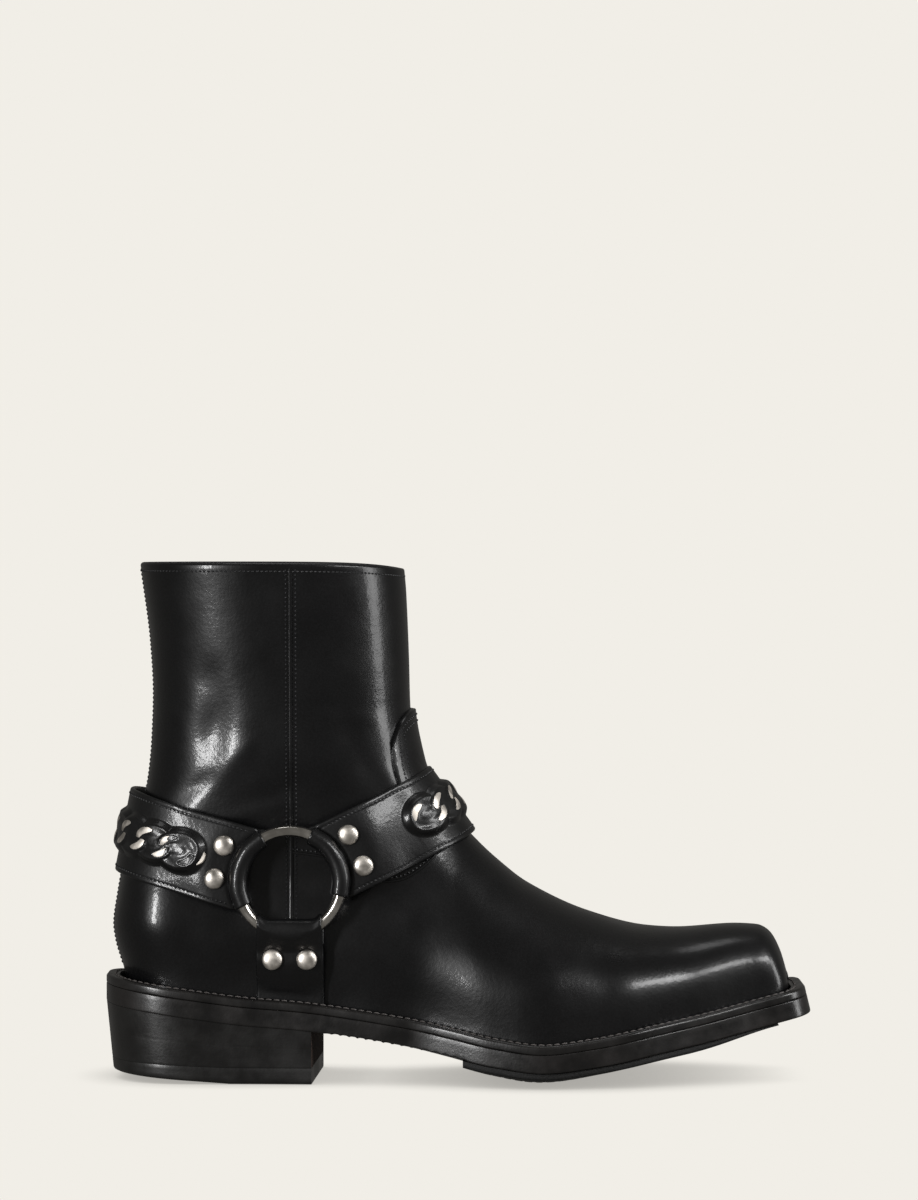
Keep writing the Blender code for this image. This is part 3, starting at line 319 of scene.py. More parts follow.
def smooth(table, position, column=1):
    """Monotone cubic through a table's rows: no overshoot between them."""
    rows = np.array(table, float)
    xs = rows[:, 0]
    ys = rows[:, column]
    step = np.diff(xs)
    slope = np.diff(ys) / step
    tangent = np.zeros(len(xs))
    same = slope[:-1] * slope[1:] > 0
    weight = step[:-1] + 2 * step[1:]
    other = 2 * step[:-1] + step[1:]
    safe_left = np.where(same, slope[:-1], 1.0)
    safe_right = np.where(same, slope[1:], 1.0)
    harmonic = (weight + other) / (other / safe_left + weight / safe_right)
    tangent[1:-1] = np.where(same, harmonic, 0.0)
    tangent[0] = slope[0]
    tangent[-1] = slope[-1]
    x = np.clip(np.asarray(position, float), xs[0], xs[-1])
    cell = np.clip(np.searchsorted(xs, x, side="right") - 1, 0, len(xs) - 2)
    t = (x - xs[cell]) / step[cell]
    value = ys[cell] * (1 + 2 * t) * (1 - t) ** 2 + ys[cell + 1] * t * t * (3 - 2 * t)
    return value + step[cell] * (tangent[cell] * t * (1 - t) ** 2 - tangent[cell + 1] * t * t * (1 - t))


def smoothstep(value):
    """Ease from 0 to 1 with level ends."""
    t = np.clip(value, 0.0, 1.0)
    return t * t * (3 - 2 * t)


def round_cap(distance, length, power):
    """Share of the full width at a distance from a rounded end, as a superellipse."""
    t = 1 - np.clip(distance / length, 0.0, 1.0)
    return (1 - t ** power) ** (1 / power)


def mix(low, high, share):
    """The value a share of the way from low to high."""
    return low + (high - low) * share


def unit(vectors):
    """Vectors divided by their lengths."""
    return vectors / np.linalg.norm(vectors, axis=-1, keepdims=True)


def path_length(points):
    """Distance along a line of points, from its first."""
    return np.concatenate([[0.0], np.cumsum(np.linalg.norm(np.diff(points, axis=0), axis=1))])


def circle(count):
    """Angles of a full turn in equal steps, without the last."""
    return np.linspace(0, 2 * math.pi, count, endpoint=False)


# Sole surfaces


def welt_top(x):
    """Height of the welt's top edge above the floor."""
    past = x - BALL_STATION
    way = np.where(past < 0, past / BALL_STATION, past / (SOLE_LENGTH - BALL_STATION))
    drop = (HEEL_SEAT_HEIGHT - BALL_SEAT_HEIGHT) * smooth(WELT_PROFILE, way, 1)
    rise = (TOE_SEAT_HEIGHT - BALL_SEAT_HEIGHT) * smooth(WELT_PROFILE, way, 2)
    return BALL_SEAT_HEIGHT + drop + rise


def under_welt(x, depth):
    """The point at a depth under the welt's top, square to the sole where it springs up to the toe."""
    step = 1 * MM
    low = np.clip(x - step, 0, SOLE_LENGTH)
    high = np.clip(x + step, 0, SOLE_LENGTH)
    slope = (welt_top(high) - welt_top(low)) / (high - low)
    tilt = np.sqrt(1 + slope * slope)
    lean = np.where(slope > 0, depth * slope / tilt, 0.0)
    return x + lean, welt_top(x) - np.where(slope > 0, depth / tilt, depth * tilt)


def crown(x, across):
    """How far the sole's underside swells down between its edges, most at the ball."""
    along = np.clip(1 - np.abs(x - BALL_STATION) / CROWN_REACH, 0.0, 1.0)
    return SOLE_CROWN * smoothstep(along) * (1 - np.abs(across) ** 2.5)


def side_widths(x):
    """Medial and lateral reach of the welt from the middle line, without the rounded ends."""
    share = x / SOLE_LENGTH
    rows = [(station, size * part, medial) for station, size, part, medial in OUTLINE]
    width = smooth(rows, share)
    medial = smooth(rows, share, 2)
    return width * medial, width * (1 - medial)


def plan_rows(inset, start=None, stop=None, cap_steps=7, side_steps=14):
    """Stations along the sole with the lateral and medial edge at each, all set in by inset."""
    heel_round = HEEL_WIDTH / 2 - inset
    toe_round = TOE_ROUND - inset
    angles = np.radians(np.linspace(9, 90, cap_steps))
    heel = inset + heel_round * (1 - np.cos(angles) ** (2 / HEEL_ROUNDNESS))
    toe = SOLE_LENGTH - inset - toe_round * (1 - np.cos(angles) ** (2 / TOE_SQUARENESS))
    first = heel[-1] if start is None else start
    last = toe[-1] if stop is None else stop
    stations = np.linspace(first, last, side_steps)
    if start is None:
        stations = np.concatenate([heel[:-1], stations])
    if stop is None:
        stations = np.concatenate([stations, toe[:-1][::-1]])
    medial, lateral = side_widths(stations)
    share = round_cap(stations - inset, heel_round, HEEL_ROUNDNESS)
    share = share * round_cap(SOLE_LENGTH - inset - stations, toe_round, TOE_SQUARENESS)
    middle = (medial - lateral) / 2
    half = (medial + lateral) / 2 - inset
    return stations, middle - half * share, middle + half * share


# The upper's own surface


def front_curve(share):
    """Side-view point a share of the way along the front line."""
    rows = np.array(FRONT_LINE)
    toe_foot = feather_height(rows[0, 0] * SOLE_LENGTH)
    x = rows[:, 0] * SOLE_LENGTH
    z = mix(toe_foot, INSTEP_HEIGHT, rows[:, 1]) + (COLLAR_HEIGHT - INSTEP_HEIGHT) * rows[:, 2]
    way = np.concatenate([[0.0], np.cumsum(np.hypot(np.diff(x), np.diff(z)))])
    table = np.column_stack([way / way[-1], x, z])
    return smooth(table, share, 1), smooth(table, share, 2)


def feather_height(x):
    """Height of the upper's lower edge, just over the midsole."""
    return under_welt(x, WELT_THICKNESS)[1] + CONTACT_GAP


def back_height(share):
    """Height on the back line at a share of the way from feather to collar."""
    foot = feather_height(BACK_LINE[0][1] * SOLE_LENGTH)
    return mix(foot, COLLAR_HEIGHT, share)


def back_x(z):
    """Station of the back line at a height."""
    foot = feather_height(BACK_LINE[0][1] * SOLE_LENGTH)
    return SOLE_LENGTH * smooth(BACK_LINE, (z - foot) / (COLLAR_HEIGHT - foot))


CURVE_SHARES = np.linspace(0, 1, 4000)
CURVE_X, CURVE_Z = front_curve(CURVE_SHARES)
TOE_CORNER = int(np.argmax(CURVE_Z * (CURVE_X > 0.88 * SOLE_LENGTH)))
ON_VAMP = (CURVE_X < 0.9 * SOLE_LENGTH) & (CURVE_X > 0.7 * SOLE_LENGTH)
VAMP_LOW = int(np.argmin(np.where(ON_VAMP, CURVE_Z, COLLAR_HEIGHT)))


def front_x(z):
    """Station of the front line at a height above the vamp's low point."""
    return np.interp(z, CURVE_Z[VAMP_LOW:], CURVE_X[VAMP_LOW:])


def toe_x(z):
    """Station of the toe wall at a height."""
    return np.interp(z, CURVE_Z[:TOE_CORNER + 1], CURVE_X[:TOE_CORNER + 1])


def ridge_height(x):
    """Height of the foot's ridge, carried on up behind the instep at a steady slope."""
    knee = 0.5 * SOLE_LENGTH
    curve = np.interp(np.maximum(x, knee), CURVE_X[::-1], CURVE_Z[::-1])
    return curve + INSTEP_SLOPE * np.maximum(knee - x, 0.0)


def ridge_side(x):
    """How far the ridge lies to the medial side of the middle line."""
    share = x / SOLE_LENGTH
    return RIDGE_SHIFT * smoothstep((share - 0.4) / 0.25)


def shaft_half_width(x, z):
    """Half-width of the shaft: an oval between the back line and the front line."""
    back = back_x(z)
    front = front_x(z)
    middle = (back + front) / 2
    reach = np.clip(np.abs(x - middle) / ((front - back) / 2), 0.0, 1.0)
    rise = np.clip((z - ANKLE_HEIGHT) / (COLLAR_HEIGHT - ANKLE_HEIGHT), 0.0, 1.0) ** 1.2
    width = mix(ANKLE_WIDTH, COLLAR_WIDTH, rise)
    return width / 2 * (1 - reach ** SHAFT_ROUNDNESS) ** (1 / SHAFT_ROUNDNESS)


def foot_half_width(x, z, side):
    """Half-width of the foot: a bulged wall that closes over the ridge, rounded at heel and toe."""
    medial, lateral = side_widths(x)
    share = x / SOLE_LENGTH
    foot = feather_height(np.clip(x, 0, SOLE_LENGTH))
    base = np.where(side > 0, medial - ridge_side(x), lateral + ridge_side(x)) - WELT_STANDOUT
    bulge = SIDE_BULGE * smooth(SECTIONS, share, 1 if side > 0 else 2)
    swell = np.sin(math.pi * np.clip((z - foot - WELT_THICKNESS) / BULGE_HEIGHT, 0.0, 1.0)) ** 2
    power = smooth(SECTIONS, share, 3)
    height = np.clip((z - foot) / (ridge_height(x) - foot), 0.0, 1.0)
    closing = (1 - height ** power) ** (1 / power)
    heel = round_cap(x - back_x(z), HEEL_WIDTH / 2 - WELT_STANDOUT, HEEL_ROUNDNESS)
    toe = round_cap(toe_x(z) - x, TOE_ROUND - WELT_STANDOUT, TOE_SQUARENESS)
    return (base + bulge * swell) * closing * heel * toe


def upper_point(x, z, side):
    """The upper's outer surface at a side-view point, on the lateral or medial side."""
    x = np.asarray(x, float)
    z = np.asarray(z, float)
    up = smoothstep((z - FOOT_TOP) / (SHAFT_START - FOOT_TOP))
    half = mix(foot_half_width(x, z, side), shaft_half_width(x, z), up)
    y = ridge_side(x) * (1 - up) + side * half
    return np.stack([x, y, z], axis=-1)


def shift(points):
    """Moves points from the welt's back to the part's own origin."""
    return np.asarray(points) - np.array([HEEL_REST_STATION, 0.0, 0.0])


def layer(depth, crowned=False, floor=None):
    """A sole surface at a depth under the welt's top, as a function of station, width and share across."""

    def surface(station, y, across):
        x, z = under_welt(station, depth)
        if crowned:
            z = z - crown(station, across)
        if floor is not None:
            z = np.maximum(z, floor)
        return np.stack([x, y, z], axis=-1)

    return surface


def breast_skew(y):
    """The heel's front face runs further forward on the medial side."""
    return BREAST_SKEW * (y / HEEL_WIDTH + 0.5)


def heel_point(station, y, level):
    """A point of the heel block, drawn in towards the floor at the back and sides."""
    share = np.maximum(1 - level / (HEEL_SEAT_HEIGHT - WELT_THICKNESS - MIDSOLE_THICKNESS), 0.0)
    along = station / HEEL_BREAST
    x = station + HEEL_TAPER * share * (1 - along) + breast_skew(y) * along ** 4
    side = y * (1 - HEEL_SIDE_TAPER * share / (HEEL_WIDTH / 2))
    return np.stack([x, side, level], axis=-1)


def lift_top(station):
    """Height of the join between heel stack and heel lift."""
    return LIFT_THICKNESS + lift_bottom(station) * 0.6


def lift_bottom(station):
    """Underside of the heel: flat at the front, rising to the back."""
    share = np.clip(1 - station / LIFT_BEVEL_LENGTH, 0.0, 1.0)
    return LIFT_BEVEL * share


def grid_normals(points, outward):
    """Unit normals of a grid of points, on the side of outward."""
    normal = unit(np.cross(np.gradient(points, axis=0), np.gradient(points, axis=1)))
    middle = normal[0, normal.shape[1] // 2]
    return normal if np.dot(middle, outward) > 0 else -normal


def ring_frame():
    """Centre, along, up and outward vectors of the harness ring, laid on the upper's side."""
    reach = RING_DIAMETER / 2
    station = np.array([RING_STATION - reach, RING_STATION + reach, RING_STATION, RING_STATION])
    height = np.array([RING_HEIGHT, RING_HEIGHT, RING_HEIGHT - reach, RING_HEIGHT + reach])
    back, front, low, high = upper_point(station, height, LATERAL)
    along = (front - back) / np.linalg.norm(front - back)
    up = (high - low) - along * np.dot(high - low, along)
    up /= np.linalg.norm(up)
    outward = np.cross(along, up)
    angles = np.linspace(0, 2 * math.pi, 25)[:-1]
    centre = upper_point(RING_STATION, RING_HEIGHT, LATERAL)
    highest = 0.0
    for radius in (0.0, 0.5 * reach, reach, reach + STRAP_TUCK):
        x = RING_STATION + radius * np.cos(angles)
        z = RING_HEIGHT + radius * np.sin(angles)
        highest = max(highest, float(np.max((upper_point(x, z, LATERAL) - centre) @ outward)))
    stand = highest + 2 * CONTACT_GAP + 3 * FACET_GAP + STRAP_THICKNESS + RING_WIRE / 2
    return centre + outward * stand, along, up, outward


RING_CENTRE, RING_ALONG, RING_UP, RING_OUT = ring_frame()
RING_RADIUS = (RING_DIAMETER - RING_WIRE) / 2
LOOK_RADIUS = (RING_DIAMETER - RING_LOOK_WIRE) / 2
WRAP_RADIUS = (RING_LOOK_WIRE + FOLD_LEATHER) / 2 + JOIN_GAP
FOLD_RADIUS = RING_WIRE / 2 + CONTACT_GAP + 2 * FACET_GAP + STRAP_THICKNESS / 2
OUTER_LEVEL = STRAP_THICKNESS + CONTACT_GAP - FOLD_RADIUS
FOLD_STEPS = 9
RING_AXES = (np.array([1.0, 0.0]), np.array([0.0, 1.0]))
FOLD_ROWS = FOLD_STEPS + 3
CREST_ROW = 30


def strap_axes(tilt):
    """Directions along and across a strap in the side view."""
    along = np.array([math.cos(tilt), math.sin(tilt)])
    up = np.array([abs(along[1]), abs(along[0])])
    if along[0] * along[1] > 0:
        up[0] = -up[0]
    return along, up


def strap_lines(tilt, width, columns):
    """A strap's directions, its columns' angles round the ring, and where they leave it."""
    along, up = strap_axes(tilt)
    start = RING_RADIUS + FOLD_RADIUS
    half_angle = math.asin(width / 2 / start)
    angle = half_angle * np.linspace(-1, 1, columns)
    turn = math.atan2(along[1], along[0])
    handed = 1.0 if along[0] * up[1] - along[1] * up[0] > 0 else -1.0
    return along, up, turn + handed * angle, start * np.sin(angle), start * np.cos(angle)


def plane_point(a, b, height, along, up):
    """A point over the ring's plane from its place along and across the strap."""
    x = a * along[0] + b * up[0]
    z = a * along[1] + b * up[1]
    spot = RING_CENTRE + x[..., None] * RING_ALONG + z[..., None] * RING_UP
    return spot + np.asarray(height)[..., None] * RING_OUT


def fold_rows(along, up, angle, offset, begin):
    """Rows of a strap's end: tucked layer, then closely round the ring's wire to its front crease."""
    rows = []
    under = np.full_like(begin, -WRAP_RADIUS - TUCK_DROP)
    for tuck in (STRAP_TUCK, STRAP_TUCK / 2, STRAP_VALLEY):
        rows.append(plane_point(begin + tuck - FOLD_RADIUS, offset, under, along, up))
    for turn in np.radians(np.linspace(258, -42, FOLD_STEPS)):
        radius = LOOK_RADIUS + WRAP_RADIUS * math.cos(turn)
        height = np.full_like(begin, WRAP_RADIUS * math.sin(turn))
        rows.append(plane_point(radius * np.cos(angle), radius * np.sin(angle), height, *RING_AXES))
    return rows


def lay_down(a, begin, offset, line, along, up, start=SETTLE_START, length=SETTLE_LENGTH):
    """Row of the outer layer: level with the ring's plane at first, then slowly down to its seat."""
    settle = smoothstep((a - begin - start) / length)[:, None]
    flat = plane_point(a, offset, np.full_like(a, OUTER_LEVEL), along, up)
    return mix(flat, line, settle)


def line_limit(along, up, offset, edge):
    """How far along the strap's line the boot's outline lies, by halving."""
    low = 0.0
    high = SOLE_LENGTH
    for _ in range(40):
        half = (low + high) / 2
        x = RING_STATION + half * along[0] + offset * up[0]
        z = RING_HEIGHT + half * along[1] + offset * up[1]
        inside = x < front_x(z) if edge == "front" else x > back_x(z)
        low, high = (half, high) if inside else (low, half)
    return low


def strap_rows(tilt, width, edge, standoff, columns=5):
    """Middle surface of a strap that folds round the ring and runs round the boot to its far end."""
    along, up, angle, offset, begin = strap_lines(tilt, width, columns)
    valley = begin + STRAP_VALLEY
    limit = np.array([line_limit(along, up, b, edge) for b in offset])
    outer_share = np.linspace(0.0, 1.0, CREST_ROW + 1)
    side_rows = [(w, LATERAL) for w in outer_share] + [(w, MEDIAL) for w in outer_share[-2::-1]]
    places = []
    for w, side in side_rows:
        a = valley + (limit - valley) * math.sin(math.pi / 2 * w)
        x = RING_STATION + a * along[0] + offset * up[0]
        z = RING_HEIGHT + a * along[1] + offset * up[1]
        if side == MEDIAL and np.min(np.abs(x - ZIP_STATION)) < STRAP_END_TO_ZIP:
            break
        places.append((a, w, side, upper_point(x, z, side)))
    base = np.array([place[3] for place in places])
    normal = grid_normals(base, RING_OUT)
    rise = np.linspace(0, 1, columns)
    rows = []
    for k, (a, w, side, points) in enumerate(places):
        extra = standoff * smoothstep(w / 0.7) * rise
        edges = points + normal[k] * (STRAP_SEAT + extra)[:, None]
        line = mix(edges[0], edges[-1], rise[:, None])
        short = STRAP_SEAT - np.sum((line - points) * normal[k], axis=1)
        line = line + normal[k].mean(axis=0) * max(float(short.max()), 0.0)
        if side == LATERAL:
            line = lay_down(a, begin, offset, line, along, up)
        rows.append(line)
    return np.array(fold_rows(along, up, angle, offset, begin) + rows)


def bottom_strap_rows(columns=9):
    """Middle surface of the bottom strap: a straight fold over the ring's wire, then down to the welt."""
    along, up, _, offset, begin = strap_lines(BOTTOM_STRAP_TILT, BOTTOM_STRAP_WIDTH, columns)
    wire = np.sqrt(LOOK_RADIUS ** 2 - offset ** 2)
    top = np.minimum(BOTTOM_FOLD_TOP, wire - WRAP_RADIUS)
    narrow = offset * 0.95
    rows = []
    under = np.full_like(top, -WRAP_RADIUS - TUCK_DROP)
    for tuck in (STRAP_TUCK, STRAP_TUCK / 2, STRAP_VALLEY):
        rows.append(plane_point(top + WRAP_RADIUS + tuck, offset, under, along, up))
    for turn in np.radians(np.linspace(258, 90, 6)):
        height = np.full_like(top, WRAP_RADIUS * math.sin(turn))
        rows.append(plane_point(top + WRAP_RADIUS * (1 + math.cos(turn)), narrow, height, along, up))
    for share in (0.15, 0.5, 0.9):
        a = mix(wire, BOTTOM_FLAT_START, share)
        height = np.full_like(a, mix(WRAP_RADIUS, OUTER_LEVEL, float(smoothstep(share))))
        rows.append(plane_point(a, mix(narrow, offset, share), height, along, up))
    station = RING_STATION + offset * up[0]
    end = RING_HEIGHT - welt_top(station) - CONTACT_GAP - FACET_GAP
    places = [mix(BOTTOM_FLAT_START + 1 * MM, end, w) for w in np.linspace(0.0, 1.0, 7)]
    base = np.array([upper_point(station, RING_HEIGHT - a, LATERAL) for a in places])
    normal = grid_normals(base, RING_OUT)
    for a, points, out in zip(places, base, normal):
        rows.append(lay_down(a, begin, offset, points + out * STRAP_SEAT, along, up,
                             BOTTOM_SETTLE_START, BOTTOM_SETTLE_LENGTH))
    return np.array(rows)


def band_point(rows, distance, across, height):
    """A point over a strap: distance along it from its crest, across it from -1 to 1, height over it."""
    body = rows[FOLD_ROWS:]
    low, middle, high = body[:, 0], body[:, body.shape[1] // 2], body[:, -1]
    way = path_length(middle)
    place = way[CREST_ROW] + distance

    def read(line, spot):
        """The point of a line at a distance along the strap's middle."""
        return np.stack([np.interp(spot, way, line[:, k]) for k in range(3)], axis=-1)

    start, stop = read(low, place), read(high, place)
    normal = unit(np.cross(read(middle, place + 1 * MM) - read(middle, place - 1 * MM), stop - start))
    centre = body.mean(axis=(0, 1))
    normal = np.where(np.sum(normal * (start - centre), axis=-1, keepdims=True) < 0, -normal, normal)
    spot = mix(start, stop, (np.asarray(across)[..., None] + 1) / 2)
    return spot + normal * np.asarray(height)[..., None]


def strap_spot(tilt, across, reach):
    """Point on a strap's outer face, where it lies flat over its tucked layer."""
    along, up = strap_axes(tilt)
    height = np.array([OUTER_LEVEL + STRAP_THICKNESS / 2 + CONTACT_GAP + STUD_SKIRT])
    return plane_point(np.array([reach]), np.array([across]), height, along, up)[0]


def front_point(y, z):
    """The upper's front surface at a distance from the ridge, found by halving along the station."""
    high = front_x(z)
    low = high - FRONT_SEARCH
    side = np.where(y < 0, LATERAL, MEDIAL)
    for _ in range(30):
        half = (low + high) / 2
        medial, lateral = upper_point(half, z, MEDIAL)[..., 1], upper_point(half, z, LATERAL)[..., 1]
        wide = np.abs(np.where(side > 0, medial, lateral)) > np.abs(y)
        low = np.where(wide, half, low)
        high = np.where(wide, high, half)
    return np.stack([low, y, z], axis=-1)


# Fine surfaces

# Creases of the leather. Columns: side, share of the sole length, share of the collar
# height, half length, half width (shares of the sole length), turn in degrees, depth in shares of
# the upper's wall (a ridge is negative).
CREASES = (
    (LATERAL, 0.160, 0.690, 0.055, 0.030, 78, 0.75),
    (LATERAL, 0.152, 0.785, 0.030, 0.024, 90, 0.28),
    (LATERAL, 0.176, 0.610, 0.048, 0.015, 42, -0.34),
    (LATERAL, 0.150, 0.585, 0.050, 0.014, 36, 0.30),
    (LATERAL, 0.330, 0.727, 0.058, 0.012, -3, 0.08),
    (LATERAL, 0.340, 0.712, 0.058, 0.012, -3, -0.06),
    (LATERAL, 0.370, 0.640, 0.050, 0.020, -58, 0.30),
    (LATERAL, 0.400, 0.600, 0.045, 0.014, -55, -0.24),
    (LATERAL, 0.245, 0.560, 0.045, 0.016, 20, 0.26),
    (LATERAL, 0.205, 0.520, 0.050, 0.012, 16, -0.16),
    (LATERAL, 0.560, 0.290, 0.060, 0.020, -35, 0.10),
    (LATERAL, 0.640, 0.240, 0.050, 0.018, -22, -0.10),
    (LATERAL, 0.700, 0.215, 0.040, 0.016, -60, 0.12),
    (MEDIAL, 0.150, 0.650, 0.050, 0.024, 70, 0.50),
    (MEDIAL, 0.180, 0.570, 0.045, 0.014, 30, -0.26),
    (MEDIAL, 0.340, 0.700, 0.055, 0.012, -8, 0.24),
    (MEDIAL, 0.370, 0.620, 0.050, 0.018, -50, 0.34),
    (MEDIAL, 0.395, 0.585, 0.045, 0.013, -50, -0.24),
    (MEDIAL, 0.590, 0.270, 0.055, 0.018, -35, 0.14),
)


def spline(values, knots, places):
    """Cubic through values at knots, with the slope at a knot weighed from both its sides."""
    shape = (-1,) + (1,) * (values.ndim - 1)
    step = np.diff(knots).reshape(shape)
    slope = np.diff(values, axis=0) / step
    tangent = np.empty_like(values)
    tangent[0], tangent[-1] = slope[0], slope[-1]
    tangent[1:-1] = (slope[:-1] * step[1:] + slope[1:] * step[:-1]) / (step[:-1] + step[1:])
    cell = np.clip(np.searchsorted(knots, places, side="right") - 1, 0, len(knots) - 2)
    h = step[cell]
    t = (places - knots[cell]).reshape(shape) / h
    start = values[cell] * (1 + 2 * t) + h * tangent[cell] * t
    stop = values[cell + 1] * (3 - 2 * t) - h * tangent[cell + 1] * (1 - t)
    return start * (1 - t) ** 2 + stop * t * t


def grid_faces(rows, columns, closed_rows=False, closed_columns=False, caps=False):
    """Quads over a grid of rows and columns of points, with one many-sided face on each open end."""
    i = np.arange(rows if closed_rows else rows - 1)[:, None]
    j = np.arange(columns if closed_columns else columns - 1)[None, :]
    after = (j + 1) % columns
    below = i * columns
    above = ((i + 1) % rows) * columns
    faces = np.stack([below + j, below + after, above + after, above + j], axis=-1).reshape(-1, 4).tolist()
    if caps:
        faces.append(list(range(columns))[::-1])
        faces.append(list(range((rows - 1) * columns, rows * columns)))
    return faces


def volume(points, faces):
    """Signed volume inside a closed mesh: the sum of its faces' pyramids over the origin."""
    quads = np.array([face for face in faces if len(face) == 4])
    a, b, c, d = (points[quads[:, k]] for k in range(4))
    total = np.sum(a * np.cross(b, c)) + np.sum(a * np.cross(c, d))
    for face in faces:
        if len(face) > 4:
            ring = points[face]
            total += np.sum(ring[0] * np.cross(ring[1:-1], ring[2:]))
    return total / 6


def make_piece(name, points, faces, finishes, body, replaced=(), index=None, crisp=40):
    """A closed mesh piece at the origin, faces outwards, riding on a body of the frame."""
    points = np.asarray(points).reshape(-1, 3)
    if volume(points, faces) < 0:
        faces = [face[::-1] for face in faces]
    mesh = bpy.data.meshes.new(name)
    mesh.from_pydata(points.tolist(), [], faces)
    for finish in finishes:
        mesh.materials.append(finish)
    if index is not None:
        mesh.polygons.foreach_set("material_index", np.asarray(index, np.int32))
    mesh.shade_smooth()
    mesh.set_sharp_from_angle(angle=math.radians(crisp))
    piece = bpy.data.objects.new(name, mesh)
    bpy.context.scene.collection.objects.link(piece)
    if replaced:
        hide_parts(*replaced)
    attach(piece, body)
    return piece


def merge(parts):
    """Several (points, faces) as one."""
    points = []
    faces = []
    base = 0
    for some_points, some_faces in parts:
        points.append(np.asarray(some_points).reshape(-1, 3))
        faces += [[corner + base for corner in face] for face in some_faces]
        base += len(points[-1])
    return np.concatenate(points), faces


def tube(line, radius, sides=8):
    """A flattened circle carried along a line of points on a surface."""
    points, normal = line
    tangent = unit(np.gradient(points, axis=0))
    side = unit(np.cross(tangent, normal))
    angle = circle(sides)[None, :, None]
    ring = side[:, None] * np.cos(angle) + normal[:, None] * np.sin(angle) * CORD_FLATNESS
    return points[:, None] + radius * ring, grid_faces(len(points), sides, closed_columns=True, caps=True)


def stitches(line, pitch, length, thread, slant=0.0):
    """A row of thread stitches along a line on a surface: short spindles whose ends dive into it."""
    points, normal = line
    way = path_length(points)
    count = max(int(way[-1] / pitch), 2)
    middle = (np.arange(count) + 0.5) * way[-1] / count
    centre = spline(points, way, middle)
    tangent = unit(spline(points, way, middle + length / 4) - spline(points, way, middle - length / 4))
    out = unit(spline(normal, way, middle))
    side = unit(np.cross(tangent, out))
    share = np.array([-1.0, -0.75, 0.0, 0.75, 1.0])
    thick = thread / 2 * np.array([0.35, 0.85, 1.0, 0.85, 0.35])
    rise = thread * 0.32 * (1 - share ** 2) - thread * 0.25
    angle = circle(6)
    local_side = (thick[:, None] * np.cos(angle) + slant * share[:, None] * length / 2).ravel()
    local_out = (thick[:, None] * np.sin(angle) + rise[:, None]).ravel()
    local_along = np.repeat(share * length / 2, 6)
    all_points = (centre[:, None] + tangent[:, None] * local_along[None, :, None]
                  + side[:, None] * local_side[None, :, None] + out[:, None] * local_out[None, :, None])
    one = np.array(grid_faces(5, 6, closed_columns=True))
    ends = [list(range(6))[::-1], list(range(24, 30))]
    faces = (one[None] + 30 * np.arange(count)[:, None, None]).reshape(-1, 4).tolist()
    for k in range(count):
        faces += [[corner + 30 * k for corner in end] for end in ends]
    return all_points.reshape(-1, 3), faces


def sewn(line, slant=0.0):
    """A row of stitches in the boot's own thread."""
    sizes = bpy.context.scene.boot_sizes
    return stitches(line, sizes.stitch_pitch, sizes.stitch_length, sizes.thread, slant)


def make_sheet(name, rows, finishes, node, crisp=40):
    """A piece from a grid whose columns close, capped at both ends; the last cap has the last finish."""
    faces = grid_faces(*rows.shape[:2], closed_columns=True, caps=True)
    index = np.zeros(len(faces))
    index[-1] = len(finishes) - 1
    made = [finish(one) for one in finishes]
    make_piece(name, shift(rows), faces, made, "boot", [node], index, crisp)


def make_merged(name, parts, one_finish, nodes=()):
    """One piece of many like parts."""
    points, faces = merge(parts)
    make_piece(name, points, faces, [finish(one_finish)], "boot", nodes)


def numbered(name, count):
    """The names of like nodes: name_1, name_2 and so on."""
    return ["{}_{}".format(name, k) for k in range(1, count + 1)]


# Materials


def linear(code):
    """A linear colour from an sRGB hex code."""
    parts = [int(code[k:k + 2], 16) / 255 for k in (1, 3, 5)]
    return tuple(c / 12.92 if c <= 0.04045 else ((c + 0.055) / 1.055) ** 2.4 for c in parts)


def add_node(tree, kind, settings=None, values=None, links=None):
    """Adds a shader node, sets its own settings and socket values, and links its inputs."""
    node = tree.nodes.new(kind)
    for name, value in (settings or {}).items():
        setattr(node, name, value)
    for name, value in (values or {}).items():
        node.inputs[name].default_value = value
    for name, socket in (links or {}).items():
        tree.links.new(socket, node.inputs[name])
    return node


def new_finish(name, colour, roughness, **more):
    """A material with a Principled shader and object coordinates: (material, tree, shader, position)."""
    made = bpy.data.materials.new(name)
    made.use_nodes = True
    tree = made.node_tree
    shader = tree.nodes["Principled BSDF"]
    shader.inputs["Base Color"].default_value = (*colour, 1.0)
    shader.inputs["Roughness"].default_value = roughness
    for socket, value in more.items():
        shader.inputs[socket.replace("_", " ")].default_value = value
    place = add_node(tree, "ShaderNodeTexCoord").outputs["Object"]
    return made, tree, shader, place


def plug(tree, shader, **sockets):
    """Links outputs into a shader's inputs; a socket's name has an underscore for a space."""
    for name, output in sockets.items():
        tree.links.new(output, shader.inputs[name.replace("_", " ")])


def grain(tree, place, size, detail=2.0, rough=0.5):
    """Soft noise whose patches are about size across."""
    values = {"Scale": 1 / size, "Detail": detail, "Roughness": rough}
    return add_node(tree, "ShaderNodeTexNoise", values=values, links={"Vector": place}).outputs["Fac"]


def bump(tree, height, distance, strength, under=None):
    """A bump of a height field, over another bump if there is one."""
    links = {"Height": height}
    if under is not None:
        links["Normal"] = under
    node = add_node(tree, "ShaderNodeBump", values={"Distance": distance, "Strength": strength}, links=links)
    return node.outputs["Normal"]


def vary(tree, field, low, high):
    """Maps the middle of a noise field, 0.3 to 0.7, to low..high."""
    values = {"From Min": 0.3, "From Max": 0.7, "To Min": low, "To Max": high}
    return add_node(tree, "ShaderNodeMapRange", values=values, links={"Value": field}).outputs["Result"]


